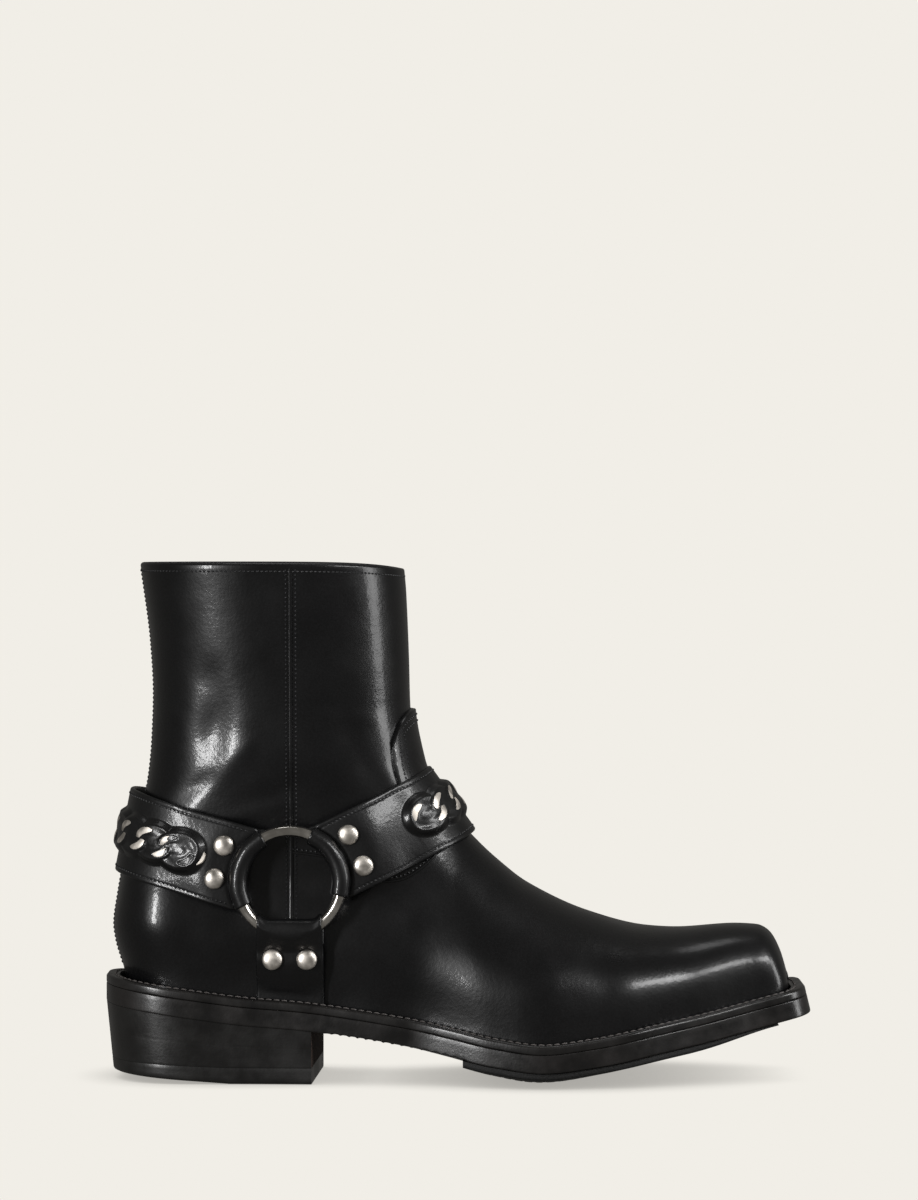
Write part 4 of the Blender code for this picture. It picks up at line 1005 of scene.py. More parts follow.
def blend_colour(tree, field, low, high):
    """A colour that runs from low to high with a field."""
    ramp = add_node(tree, "ShaderNodeValToRGB", links={"Fac": field})
    for stop, position, colour in zip(ramp.color_ramp.elements, (0.35, 0.7), (low, high)):
        stop.position = position
        stop.color = (*colour, 1.0)
    return ramp.outputs["Color"]


def polished_calf(name, colour, roughness, pore, depth):
    """Corrected-grain calf leather, waxed and polished: near black, with fine pores and a soft sheen."""
    made, tree, shader, place = new_finish(name, colour, roughness, Specular_IOR_Level=0.3, Coat_Weight=0.34,
                                           Coat_Roughness=0.1, Coat_IOR=1.5)
    fine = grain(tree, place, pore, 3.0, 0.6)
    pebble = add_node(tree, "ShaderNodeTexVoronoi", values={"Scale": 0.45 / pore}, links={"Vector": place})
    soft = grain(tree, place, 22 * MM)
    level = bump(tree, soft, 1.2 * MM, 0.16)
    level = bump(tree, grain(tree, place, 7 * MM), 0.5 * MM, 0.14, level)
    level = bump(tree, pebble.outputs["Distance"], depth, 0.35, level)
    level = bump(tree, fine, depth, 0.55, level)
    lighter = tuple(c * 1.6 + 0.002 for c in colour)
    plug(tree, shader, Normal=level, Coat_Normal=level,
         Roughness=vary(tree, soft, roughness * 0.85, roughness * 1.25),
         Base_Color=blend_colour(tree, fine, colour, lighter))
    return made


def dyed_edge(name, colour, worn, roughness, line):
    """Leather sole edge, trimmed, dyed black and waxed: fine level scratches and some rubbed patches."""
    made, tree, shader, place = new_finish(name, colour, roughness, Coat_Weight=0.25, Coat_Roughness=0.25)
    stretch = add_node(tree, "ShaderNodeMapping", values={"Scale": (0.06, 0.06, 1.0)},
                       links={"Vector": place})
    stretched = stretch.outputs["Vector"]
    patches = grain(tree, place, 14 * MM, 3.0, 0.6)
    level = bump(tree, grain(tree, stretched, line, 4.0, 0.6), 0.1 * MM, 0.14)
    level = bump(tree, grain(tree, place, 1.1 * MM, 3.0), 0.12 * MM, 0.35, level)
    plug(tree, shader, Normal=level, Coat_Normal=level,
         Roughness=vary(tree, patches, roughness * 0.75, roughness * 1.4),
         Base_Color=blend_colour(tree, patches, colour, worn))
    return made


def rough_board(name, colour, other, speck_size, roughness=0.85):
    """Cut or brushed fibre, such as a heel's breast, an insole or a rubber tread: matt and mottled."""
    made, tree, shader, place = new_finish(name, colour, roughness, Specular_IOR_Level=0.35)
    speck = grain(tree, place, speck_size, 4.0, 0.7)
    plug(tree, shader, Normal=bump(tree, speck, 0.3 * MM, 0.6),
         Base_Color=blend_colour(tree, speck, colour, other))
    return made


def nickel(name, colour, roughness, scratch, depth):
    """Nickel plate: warm grey metal, its polish broken by fine scratches and a little tarnish."""
    made, tree, shader, place = new_finish(name, colour, roughness, Metallic=1.0)
    fine = grain(tree, place, scratch, 3.0, 0.6)
    cloud = grain(tree, place, 5 * MM)
    darker = tuple(c * 0.72 for c in colour)
    plug(tree, shader, Normal=bump(tree, fine, depth, 0.4),
         Roughness=vary(tree, cloud, roughness * 0.7, roughness * 1.5),
         Base_Color=blend_colour(tree, cloud, darker, colour))
    return made


def woven(name, colour, other, thread):
    """Woven nylon, matt, with a fine check: two crossed waves, one a thread apart in each direction."""
    made, tree, shader, place = new_finish(name, colour, 0.9, Sheen_Weight=0.3)
    values = {"Scale": 1 / (6.28 * thread) * 2, "Distortion": 0.4}
    waves = [add_node(tree, "ShaderNodeTexWave", {"bands_direction": direction}, values, {"Vector": place})
             for direction in ("X", "Z")]
    both = add_node(tree, "ShaderNodeMath", {"operation": "MULTIPLY"},
                    links={0: waves[0].outputs["Fac"], 1: waves[1].outputs["Fac"]}).outputs["Value"]
    plug(tree, shader, Normal=bump(tree, both, 0.2 * MM, 0.6),
         Base_Color=blend_colour(tree, both, colour, other))
    return made


def waxed_thread(name, colour):
    """Waxed polyester sewing thread, smooth and a little glossy, with a fine twist."""
    made, tree, shader, place = new_finish(name, colour, 0.5)
    twist = grain(tree, place, 0.25 * MM)
    lighter = tuple(min(c * 1.5, 1.0) for c in colour)
    plug(tree, shader, Normal=bump(tree, twist, 0.05 * MM, 0.5),
         Base_Color=blend_colour(tree, twist, colour, lighter))
    return made


FINISHES = {}


def make_finishes():
    """Every material of the boot, by a short name."""
    looks = bpy.context.scene.boot_looks
    calf, edge, studs = tuple(looks.leather), tuple(looks.edge), tuple(looks.studs)
    heel_dye = (linear("#0e0d0d"), linear("#151413"))
    return {
        "calf": polished_calf("polished_calf", calf, looks.leather_roughness, looks.pore, 0.06 * MM),
        "harness": polished_calf("harness_calf", calf, looks.leather_roughness * 1.25, looks.pore, 0.08 * MM),
        "edge": dyed_edge("dyed_sole_edge", edge, linear("#1b1817"), 0.32, 0.7 * MM),
        "welt": dyed_edge("dyed_welt", edge, linear("#1d1b1a"), 0.3, 1.0 * MM),
        "stack": dyed_edge("dyed_heel_stack", *heel_dye, 0.32, 0.9 * MM),
        "lift": dyed_edge("dyed_rubber_lift", *heel_dye, 0.36, 0.9 * MM),
        "breast": rough_board("cut_heel_leather", linear("#191412"), linear("#4a382e"), 1.4 * MM),
        "rubber": rough_board("moulded_rubber", linear("#0d0d0d"), linear("#1b1b1b"), 0.9 * MM, 0.6),
        "board": rough_board("insole_leather", linear("#4b3a2c"), linear("#6a5442"), 0.8 * MM, 0.7),
        "lining": rough_board("lining_leather", tuple(looks.lining), linear("#323233"), 0.7 * MM, 0.75),
        "polished": nickel("polished_nickel", tuple(looks.ring), 0.16, 0.4 * MM, 0.008 * MM),
        "brushed": nickel("brushed_nickel", studs, 0.36, 0.35 * MM, 0.03 * MM),
        "worn": nickel("worn_nickel", studs, 0.46, 0.35 * MM, 0.05 * MM),
        "tape": woven("woven_zip_tape", linear("#101012"), linear("#232326"), 0.5 * MM),
        "thread": waxed_thread("black_thread", linear("#131315")),
        "welt_thread": waxed_thread("welt_thread", linear("#4a4644")),
        "teeth": nickel("zip_teeth_nickel", studs, 0.3, 0.3 * MM, 0.02 * MM),
    }


def finish(name):
    """A material by its short name; all are made the first time that one is asked for."""
    if not FINISHES:
        FINISHES.update(make_finishes())
    return FINISHES[name]


# Upper


def relief(x, z, side):
    """Inward depth of the creases: each is a bell across and along its own line, and they add up."""
    depth = np.zeros(np.shape(x))
    strength = bpy.context.scene.boot_sizes.crease_depth
    for which, station, height, half_long, half_wide, turn, share in CREASES:
        dx = x - station * SOLE_LENGTH
        dz = z - height * COLLAR_HEIGHT
        c, s = math.cos(math.radians(turn)), math.sin(math.radians(turn))
        along = (dx * c + dz * s) / (half_long * SOLE_LENGTH)
        off = (dz * c - dx * s) / (half_wide * SOLE_LENGTH)
        bell = np.exp(-along ** 2 - off ** 2)
        depth = depth + np.where(side == which, share * UPPER_WALL * bell, 0.0)
    return depth * strength


def skin(x, z, side):
    """Point and outward normal of the leather at a side-view place, creases included."""
    x, z = np.asarray(x, float), np.asarray(z, float)
    small = 0.4 * MM
    here = upper_point(x, z, side)
    normal = np.cross(upper_point(x, z + small, side) - upper_point(x, z - small, side),
                      upper_point(x + small, z, side) - upper_point(x - small, z, side))
    normal = unit(normal)
    normal = normal * np.sign(normal[..., 1:2] * side)
    return here - normal * relief(x, z, side)[..., None], normal


def upper_grid(rows, half_steps):
    """The upper's outside: rings from the sole's edge to the collar, and round from back to front to back."""
    table = [(k / (len(RINGS) - 1), *ring) for k, ring in enumerate(RINGS)]
    v = np.linspace(0, 1, rows)
    front_share, back_share = smooth(table, v, 1)[:, None], smooth(table, v, 2)[:, None]
    s = (1 - np.cos(math.pi * np.linspace(0, 1, half_steps + 1))) / 2
    back_z = back_height(back_share)
    back = back_x(back_z)
    front, front_z = front_curve(front_share)
    x = mix(back, front, s)
    sag = feather_height(x) - mix(feather_height(back), feather_height(front), s)
    z = mix(back_z, front_z, s ** (1 + 6 * back_share ** 8)) + sag * (1 - back_share) ** 2
    outer = np.concatenate([upper_point(x, z, LATERAL), upper_point(x, z, MEDIAL)[:, -2:0:-1]], axis=1)
    depth = np.concatenate([relief(x, z, LATERAL), relief(x, z, MEDIAL)[:, -2:0:-1]], axis=1)
    along = np.gradient(outer, axis=0)
    across = np.roll(outer, -1, axis=1) - np.roll(outer, 1, axis=1)
    normal = unit(np.cross(along, across))
    if normal[rows // 2, half_steps // 2, 1] > 0:
        normal = -normal
    return outer - normal * depth[..., None], normal


def build_upper():
    """The boot's hollow leather upper with its rolled top line and its lining."""
    rows, half_steps = 232, 140
    outer, normal = upper_grid(rows, half_steps)
    turn = np.radians(np.linspace(0, 180, 7))[1:-1][:, None, None]
    half = UPPER_WALL / 2
    centre = outer[-1] - normal[-1] * half
    rim = centre + normal[-1] * half * np.cos(turn) + np.array([0.0, 0.0, 1.0]) * half * np.sin(turn)
    inner = (outer - normal * UPPER_WALL)[::-5]
    points = np.concatenate([outer, rim, inner])
    columns = points.shape[1]
    faces = grid_faces(len(points), columns, closed_rows=True, closed_columns=True)
    row = np.repeat(np.arange(len(points)), columns)
    index = np.where((row >= rows + 1) & (row < len(points) - 1), 1, 0)
    make_piece("leather_upper", shift(points), faces, [finish("calf"), finish("lining")], "boot",
               ["upper"], index, crisp=60)


def seam_line(side, x, z):
    """A line on the leather through side-view places: its points and normals, closely spaced."""
    x, z = np.asarray(x, float), np.asarray(z, float)
    way = path_length(np.column_stack([x, z]))
    places = np.linspace(0, way[-1], max(int(way[-1] / SEAM_SAMPLE), 8))
    points, normal = skin(spline(x, way, places), spline(z, way, places), side)
    return shift(points), normal


def edge_ring(drop, side):
    """Line round one side of the collar at a drop under its edge, from back to front."""
    s = (1 - np.cos(math.pi * np.linspace(0.004, 0.996, 140))) / 2
    z = mix(COLLAR_HEIGHT, front_curve(1.0)[1], s ** 7) - drop
    front = np.minimum(front_x(COLLAR_HEIGHT - drop), front_x(z))
    points, normal = skin(mix(back_x(COLLAR_HEIGHT - drop), front, s), z, side)
    return shift(points), normal


def build_upper_seams():
    """The raised side seam and panel edge, and the thread of the side, back, collar and panel."""
    heights = np.linspace(SEAM_FOOT, SEAM_TOP, 60)
    back_heights = np.linspace(BACK_SEAM_FOOT, SEAM_TOP, 80)
    beside = back_x(back_heights) + BACK_SEAM_REACH
    lines = [seam_line(LATERAL, np.full(60, SEAM_STATION + reach), heights)
             for reach in (-SEAM_STITCH_REACH, SEAM_STITCH_REACH)]
    lines += [seam_line(side, beside, back_heights) for side in (LATERAL, MEDIAL)]
    lines += [edge_ring(COLLAR_STITCH_DROP, side) for side in (LATERAL, MEDIAL)]
    lines.append(seam_line(LATERAL, PANEL_EDGE_X, PANEL_EDGE_Z + PANEL_STITCH_RISE))
    side_cord = bpy.context.scene.boot_sizes.seam_cord / 2
    cords = [tube(seam_line(LATERAL, np.full(60, SEAM_STATION), heights), side_cord),
             tube(seam_line(LATERAL, PANEL_EDGE_X, PANEL_EDGE_Z), PANEL_CORD)]
    make_merged("seam_cords", cords, "calf")
    make_merged("upper_stitches", [sewn(line) for line in lines], "thread")


def tongue_sheet():
    """The arched overlay's place on the front of the shaft, as a grid of points and normals."""
    columns = np.linspace(-1, 1, TONGUE_STEPS) * 0.985
    y = TONGUE_HALF_WIDTH * columns
    slope = math.tan(FRONT_STRAP_TILT)
    edge = FRONT_STRAP_WIDTH / 2 / math.cos(FRONT_STRAP_TILT)
    foot = np.full_like(y, INSTEP_HEIGHT)
    for _ in range(6):
        x = front_point(y, foot)[:, 0]
        foot = RING_HEIGHT + edge + slope * (x - RING_STATION) - TONGUE_FOOT_GAP
    arch = (1 - np.abs(columns) ** TONGUE_ARCH) ** (1 / TONGUE_ARCH)
    middle = foot[len(foot) // 2]
    share = np.linspace(0, 1, TONGUE_STEPS)[:, None]
    z = foot + share * (TONGUE_TOP - middle) * arch
    rows = front_point(np.broadcast_to(y, z.shape), z)
    return rows, grid_normals(rows, (1.0, 0.0, 0.0))


def inset_path(grid, inset):
    """Up one side of a grid, across near its top and down the other side, some steps in from its edge."""
    last = len(grid) - 1
    top = last - 2 * inset
    down = grid[:top + 1, last - inset][::-1]
    return np.concatenate([grid[:top + 1, inset], grid[top, inset + 1:last - inset], down])


def build_tongue():
    """The vamp's arched tongue over the shaft's front, with a rounded edge and two stitch rows."""
    rows, normal = tongue_sheet()
    from_side = (1 - np.abs(np.linspace(-1, 1, TONGUE_STEPS))) * TONGUE_HALF_WIDTH
    from_top = (1 - np.linspace(0, 1, TONGUE_STEPS)) * (TONGUE_TOP - INSTEP_HEIGHT + TONGUE_FOOT_DROP)
    t = np.clip(np.minimum(from_side[None, :], from_top[:, None]) / TONGUE_ROUND, 0, 1)
    height = TONGUE_RISE * np.sqrt(1 - (1 - t) ** 2)
    bottom = rows - normal * TONGUE_SINK
    points = np.concatenate([rows + normal * height[..., None], bottom[:, ::-1]], axis=1)
    make_sheet("tongue_overlay", points, ["calf"], "vamp_tongue")
    raised = rows + normal * TONGUE_RISE
    lines = [(shift(inset_path(raised, inset)), inset_path(normal, inset)) for inset in TONGUE_STITCH_STEPS]
    make_merged("tongue_stitches", [sewn(line) for line in lines], "thread")


# Sole


def plate_grid(profile, top, bottom, across_steps, **plan):
    """A plate's skin: its top across, down the medial edge by the profile, its underside and up again."""
    inset, share = np.array(profile).T
    station, lateral, medial = np.array([plan_rows(value, **plan) for value in inset]).transpose(1, 0, 2)
    across = np.linspace(-1, 1, across_steps)

    def face(surface, k):
        along = np.repeat(station[k][:, None], across_steps, axis=1)
        y = mix(lateral[k][:, None], medial[k][:, None], (across + 1) / 2)
        return surface(along, y, np.broadcast_to(across, along.shape))

    def edge(y, side):
        rim = np.full_like(station, side)
        points = mix(top(station, y, rim), bottom(station, y, rim), share[:, None, None])
        return points.transpose(1, 0, 2)

    right = edge(medial, 1.0)[:, 1:-1]
    left = edge(lateral, -1.0)[:, -2:0:-1]
    return np.concatenate([face(top, 0), right, face(bottom, -1)[:, ::-1], left], axis=1)


def loop_points(inset, depth, side_steps=220):
    """Points round the sole at an inset from its edge and a depth under the welt's top."""
    stations, lateral, medial = plan_rows(inset, cap_steps=26, side_steps=side_steps)
    x = np.concatenate([stations, stations[::-1]])
    y = np.concatenate([lateral, medial[::-1]])
    x, z = under_welt(x, depth)
    return np.stack([x, y, z], axis=-1)


def build_welt():
    """The welt: a strip all round with rubbed round edges, and its thread along the top."""
    sizes = bpy.context.scene.boot_sizes
    inner = WELT_STANDOUT - CONTACT_GAP - 4 * FACET_GAP
    deep = WELT_THICKNESS
    profile = ((inner, 0.0), (4.6 * MM, 0.0), (4.0 * MM, 0.28 * MM), (3.4 * MM, 0.0), (1.6 * MM, 0.0),
               (0.9 * MM, 0.12 * MM), (0.35 * MM, 0.45 * MM), (0.05 * MM, 1.0 * MM), (0.0, 1.6 * MM),
               (0.0, deep - 0.6 * MM), (0.05 * MM, deep - 0.25 * MM), (0.2 * MM, deep - 0.05 * MM),
               (0.5 * MM, deep), (inner, deep))
    rows = np.stack([loop_points(inset, depth) for inset, depth in profile], axis=1)
    faces = grid_faces(*rows.shape[:2], closed_rows=True, closed_columns=True)
    make_piece("welt_strip", shift(rows), faces, [finish("welt")], "boot", ["welt"], crisp=70)
    line = loop_points(WELT_STITCH_INSET, 0.0, 160)
    line = np.concatenate([line, line[:1]])
    up = np.tile(np.array([0.0, 0.0, 1.0]), (len(line), 1))
    length = sizes.welt_pitch * WELT_STITCH_SHARE
    thread = stitches((shift(line), up), sizes.welt_pitch, length, sizes.welt_thread)
    make_merged("welt_stitches", [thread], "welt_thread")


def build_midsole():
    """The leather board under the welt: waxed edge, a scalloped lower edge at the waist."""
    flat_bottom = layer(WELT_THICKNESS + MIDSOLE_THICKNESS, crowned=True)

    def bottom(station, y, across):
        points = flat_bottom(station, y, across)
        waist = smoothstep((station - WAIST_START) / WAIST_EASE)
        waist = waist * smoothstep((WAIST_STOP - station) / WAIST_STOP_EASE)
        wave = np.abs(np.sin(math.pi * station / SCALLOP_PITCH + 0.6 * np.sin(station / SCALLOP_WANDER)))
        points[..., 2] += SCALLOP_DEPTH * waist * wave * (np.abs(across) > 0.9)
        return points

    profile = ((0.25 * MM, 0.0), (0.05 * MM, 0.02), (0.0, 0.06), (0.0, 0.3), (0.0, 0.5), (0.0, 0.7),
               (0.0, 0.9), (0.03 * MM, 0.96), (0.1 * MM, 0.985), (0.3 * MM, 1.0))
    rows = plate_grid(profile, layer(WELT_THICKNESS + JOIN_GAP), bottom, 17, cap_steps=26, side_steps=420)
    make_sheet("sole_board", rows, ["edge"], "midsole", crisp=60)


def build_half_sole():
    """The rubber half sole: crowned, flat where it meets the floor, with cross ribs, thinner at the toe."""
    base = WELT_THICKNESS + MIDSOLE_THICKNESS
    top = layer(base + JOIN_GAP, crowned=True)
    underside = layer(base + CONTACT_GAP + FACET_GAP + HALF_SOLE_THICKNESS, crowned=True, floor=0.0)

    def tread(station, y, across):
        points = underside(station, y, across)
        groove = np.cos(2 * math.pi * station / TREAD_PITCH) > 0.72
        inner = (np.abs(across) < 0.8) & (points[..., 2] > 0.0)
        points[..., 2] += np.where(groove & inner, TREAD_DEPTH, 0.0)
        past = station - SOLE_LENGTH + HALF_SOLE_TOE_GAP + TREAD_TOE_LENGTH
        points[..., 2] += TREAD_TOE_RISE * smoothstep(past / TREAD_TOE_LENGTH)
        return points

    profile = ((0.2 * MM, 0.0), (HALF_SOLE_INSET, 0.08), (HALF_SOLE_INSET, 0.5), (HALF_SOLE_INSET, 0.8),
               (HALF_SOLE_INSET + 0.3 * MM, 0.95), (HALF_SOLE_INSET + 0.9 * MM, 1.0))
    rows = plate_grid(profile, top, tread, 31, start=HALF_SOLE_START, stop=SOLE_LENGTH - HALF_SOLE_TOE_GAP,
                      side_steps=220)
    make_sheet("tread", rows, ["rubber"], "half_sole", crisp=50)


def heel_surface(height):
    """A surface of the heel block from its height at each station."""
    return lambda station, y, across: heel_point(station, y, height(station))


def build_heel():
    """The stacked heel and its rubber lift: waxed sides with a faint lift line, and a rough breast."""

    def stack_top(station, y, across):
        front = station + breast_skew(y) * (station / HEEL_BREAST) ** 4
        return heel_point(station, y, under_welt(front, WELT_THICKNESS + MIDSOLE_THICKNESS + JOIN_GAP)[1])

    groove = np.zeros(41)
    groove[[20, 40]] = (0.03, 0.06)
    profile = [(JOIN_GAP + depth * MM, part) for depth, part in zip(groove, np.linspace(0, 1, 41))]
    plan = {"stop": HEEL_BREAST, "cap_steps": 30, "side_steps": 90}
    stack_bottom = heel_surface(lambda station: lift_top(station) + JOIN_GAP)
    rows = plate_grid(profile, stack_top, stack_bottom, 9, **plan)
    make_sheet("stacked_heel", rows, ["stack", "breast"], "heel_stack", crisp=50)
    profile = ((0.2 * MM, 0.0), (0.1 * MM, 0.06), (0.1 * MM, 0.3), (0.1 * MM, 0.6), (0.1 * MM, 0.84),
               (0.35 * MM, 0.95), (1.0 * MM, 1.0))
    rows = plate_grid(profile, heel_surface(lift_top), heel_surface(lift_bottom), 9, **plan)
    make_sheet("rubber_lift", rows, ["lift"], "heel_lift", crisp=50)


def build_insole():
    """The leather insole board inside the boot, a little dished."""
    inset = WELT_STANDOUT + UPPER_WALL + CONTACT_GAP + 2 * FACET_GAP + INSOLE_GAP

    def top(station, y, across):
        points = layer(WELT_THICKNESS - INSOLE_THICKNESS)(station, y, across)
        points[..., 2] -= INSOLE_DISH * (1 - across ** 2)
        return points

    profile = ((inset + 0.5 * MM, 0.0), (inset, 0.2), (inset, 0.8), (inset + 0.3 * MM, 1.0))
    rows = plate_grid(profile, top, layer(WELT_THICKNESS), 21, cap_steps=20, side_steps=120)
    make_sheet("insole_board", rows, ["board"], "insole")


# Harness


def across_columns(grid, place):
    """Reads a grid's rows at places between its columns."""
    knots = np.arange(grid.shape[1], dtype=float)
    return np.swapaxes(spline(np.swapaxes(grid, 0, 1), knots, place), 0, 1)


def strap_sheet(rows, columns=41):
    """A strap's middle surface on a fine even grid: points, normals and the distance along it."""
    middle = rows[:, rows.shape[1] // 2]
    way = path_length(middle)
    places = np.linspace(0, way[-1], int(way[-1] / STRAP_SAMPLE))
    fine = spline(rows, way, places)
    fine = across_columns(fine, np.linspace(0, rows.shape[1] - 1, columns))
    normal = unit(np.cross(np.gradient(fine, axis=0), np.gradient(fine, axis=1)))
    flat = int(np.searchsorted(places, way[FOLD_ROWS]))
    if np.dot(normal[flat, columns // 2], RING_OUT) < 0:
        normal = -normal
    return fine, normal, places, way


def across_sheet(grid, width, offset):
    """Reads a sheet's grid at distances across it from its middle line."""
    return across_columns(grid, (np.asarray(offset) / width + 0.5) * (grid.shape[1] - 1))


def link_middle(index, count):
    """Distance of a chain link's middle from the strap's crest."""
    return (index - (count - 1) / 2) * LINK_PITCH


def link_place(distance, offset, index, count):
    """Place over one link: distance outside its centre line's oval, and the angle round it."""
    x = (distance - link_middle(index, count)) / CHAIN_HALF_LONG
    y = offset / CHAIN_HALF_WIDE
    angle = np.arctan2(y, x)
    reach = np.hypot(CHAIN_HALF_LONG * np.cos(angle), CHAIN_HALF_WIDE * np.sin(angle))
    return (np.hypot(x, y) - 1) * reach, angle


def chain_cover(distance, offset, count, hand):
    """Height of the leather moulded over a chain, with a crescent window where each link lies highest."""
    height = np.zeros(np.broadcast_shapes(distance.shape, offset.shape))
    cut = np.zeros_like(height)
    for index in range(count):
        outside, angle = link_place(distance, offset, index, count)
        shoulder = smoothstep((COVER_REACH - outside) / COVER_SLOPE)
        bowl = 1 - BOWL_DEPTH * np.exp(-((outside + BOWL_PLACE) / BOWL_WIDTH) ** 2)
        sway = CHAIN_SWAY * hand * np.sin(2 * angle) * np.exp(-(outside / SWAY_WIDTH) ** 2)
        height = np.maximum(height, shoulder * (COVER_HEIGHT * bowl + sway))
        on_top = hand * np.sin(2 * angle) > 0
        for degrees in WINDOW_TURNS:
            turn = math.radians(degrees if hand > 0 else 180 - degrees)
            gap = np.abs((angle - turn + math.pi) % (2 * math.pi) - math.pi)
            wide = WINDOW_WIDTH * np.sqrt(np.clip(1 - (gap / WINDOW_SPAN) ** 2, 0.0, 1.0))
            window = smoothstep((wide - np.abs(outside)) / WINDOW_EDGE + WINDOW_SOFTNESS)
            cut = np.maximum(cut, np.where(on_top, window, 0.0))
    return height - cut * WINDOW_DEPTH


def strap_section(width, steps):
    """A strap's section: distances across it and levels from -1 to 1, flat faces with round edges."""
    half = width / 2
    turn = np.radians(np.linspace(0, 180, 9))[1:-1]
    side = STRAP_EDGE * np.sin(turn)
    top = np.linspace(STRAP_EDGE - half, half - STRAP_EDGE, steps)
    under = np.linspace(half - STRAP_EDGE, STRAP_EDGE - half, 9)
    offset = np.concatenate([top, half - STRAP_EDGE + side, under, STRAP_EDGE - half - side])
    level = np.concatenate([np.ones(steps), np.cos(turn), -np.ones(9), -np.cos(turn)])
    return offset, level


def strap_piece(name, node, rows, width, links=0, hand=1, lines=()):
    """A strap over its middle surface, with its moulded chain cover; returns its stitch rows."""
    fine, normal, places, way = strap_sheet(rows)
    steps = 121 if links else 41
    offset, level = strap_section(width, steps)
    flat = offset[:steps]
    points = across_sheet(fine, width, offset)
    out = unit(across_sheet(normal, width, offset))
    full = smoothstep((places - way[FOLD_ROWS - 1]) / FOLD_EASE)
    thick = mix(FOLD_LEATHER, STRAP_THICKNESS, full) / 2
    height = level[None] * thick[:, None]
    if links:
        crest = way[FOLD_ROWS + CREST_ROW]
        height[:, :steps] += chain_cover((places - crest)[:, None], flat[None], links, hand)
    start = int(np.searchsorted(places, way[FOLD_ROWS] + THREAD_START))
    threads = []
    for reach in lines:
        groove = np.exp(-((flat - reach) / GROOVE_WIDTH) ** 2)
        height[:, :steps] -= STITCH_GROOVE * groove[None] * full[:, None]
        line = across_sheet(fine, width, [reach])[start:, 0]
        line_out = unit(across_sheet(normal, width, [reach])[start:, 0])
        seat = STRAP_THICKNESS / 2 - STITCH_GROOVE
        threads.append(sewn((shift(line + line_out * seat), line_out), STITCH_SLANT))
    make_sheet(name, points + out * height[..., None], ["harness"], node, crisp=60)
    return threads


def harness_rows():
    """Middle surfaces of the front, back and bottom straps."""
    return (strap_rows(FRONT_STRAP_TILT, FRONT_STRAP_WIDTH, "front", FRONT_STANDOFF),
            strap_rows(BACK_STRAP_TILT, BACK_STRAP_WIDTH, "back", BACK_STANDOFF),
            bottom_strap_rows())


def build_harness():
    """The three straps round the ring, with the chain's moulded cover and the thread along the edges."""
    front, back, bottom = harness_rows()
    threads = []
    for name, rows, width, links, hand in (("front", front, FRONT_STRAP_WIDTH, FRONT_LINKS, -1),
                                           ("back", back, BACK_STRAP_WIDTH, BACK_LINKS, 1)):
        reach = width / 2 - STITCH_INSET
        threads += strap_piece("strap_" + name, name + "_strap", rows, width, links, hand, (-reach, reach))
    strap_piece("strap_bottom", "bottom_strap", bottom, BOTTOM_STRAP_WIDTH)
    make_merged("strap_stitches", threads, "thread")


def build_ring():
    """The harness ring: a circle of round wire."""
    wire = bpy.context.scene.boot_sizes.ring_wire / 2
    turn = circle(160)[:, None, None]
    angle = circle(28)[None, :, None]
    out = RING_ALONG * np.cos(turn) + RING_UP * np.sin(turn)
    points = RING_CENTRE + out * (LOOK_RADIUS + wire * np.cos(angle)) + RING_OUT * wire * np.sin(angle)
    faces = grid_faces(160, 28, closed_rows=True, closed_columns=True)
    make_piece("round_ring", shift(points), faces, [finish("polished")], "ring", ["ring"])


def build_studs():
    """Six rivet heads: a low dome turned about its axis over a short skirt."""
    radius = bpy.context.scene.boot_sizes.stud_diameter / 2
    lift = np.radians(np.linspace(86, 0, 10))
    reach = np.concatenate([radius * np.cos(lift), [radius, radius * 0.96]])
    level = np.concatenate([STUD_RISE * np.sin(lift) ** 0.9, [-0.5 * STUD_SKIRT, -STUD_SKIRT]])
    turn = circle(40)[None, :, None]
    along = np.cos(turn) * RING_ALONG + np.sin(turn) * RING_UP
    dome = along * reach[:, None, None] + RING_OUT * level[:, None, None]
    faces = grid_faces(*dome.shape[:2], closed_columns=True, caps=True)
    places = [(tilt, across, distance)
              for tilt, distance in ((FRONT_STRAP_TILT, STUD_REACH), (BACK_STRAP_TILT, STUD_REACH),
                                     (BOTTOM_STRAP_TILT, BOTTOM_STUD_REACH))
              for across in (-STUD_PITCH / 2, STUD_PITCH / 2)]
    parts = [(shift(strap_spot(*place) + dome), faces) for place in places]
    make_merged("stud_heads", parts, "brushed", numbered("stud", len(parts)))


def chain_piece(name, rows, width, count, hand):
    """A curb chain let into a strap: flat ovals, each over one neighbour and under the other."""
    turns, sides = 72, 12
    phi, theta = circle(turns), circle(sides)
    line = np.stack([CHAIN_HALF_LONG * np.cos(phi), CHAIN_HALF_WIDE * np.sin(phi),
                     CHAIN_SWAY * hand * np.sin(2 * phi)], axis=-1)
    tangent = unit(np.roll(line, -1, axis=0) - np.roll(line, 1, axis=0))
    side = unit(np.cross(tangent, (0.0, 0.0, 1.0)))
    over = np.cross(side, tangent)
    ring = (side[:, None] * (CHAIN_WIRE / 2 * np.cos(theta))[None, :, None]
            + over[:, None] * (CHAIN_THICKNESS / 2 * np.cbrt(np.sin(theta)))[None, :, None])
    local = line[:, None] + ring
    base = STRAP_THICKNESS / 2 + COVER_HEIGHT - CHAIN_THICKNESS / 2 - CHAIN_DEPTH
    faces = grid_faces(turns, sides, closed_rows=True, closed_columns=True)
    parts = []
    for k in range(count):
        distance = link_middle(k, count) + local[..., 0]
        points = band_point(rows, distance, local[..., 1] / (width / 2), base + local[..., 2])
        parts.append((shift(points), faces))
    make_merged("chain_" + name, parts, "worn", numbered(name + "_link", count))


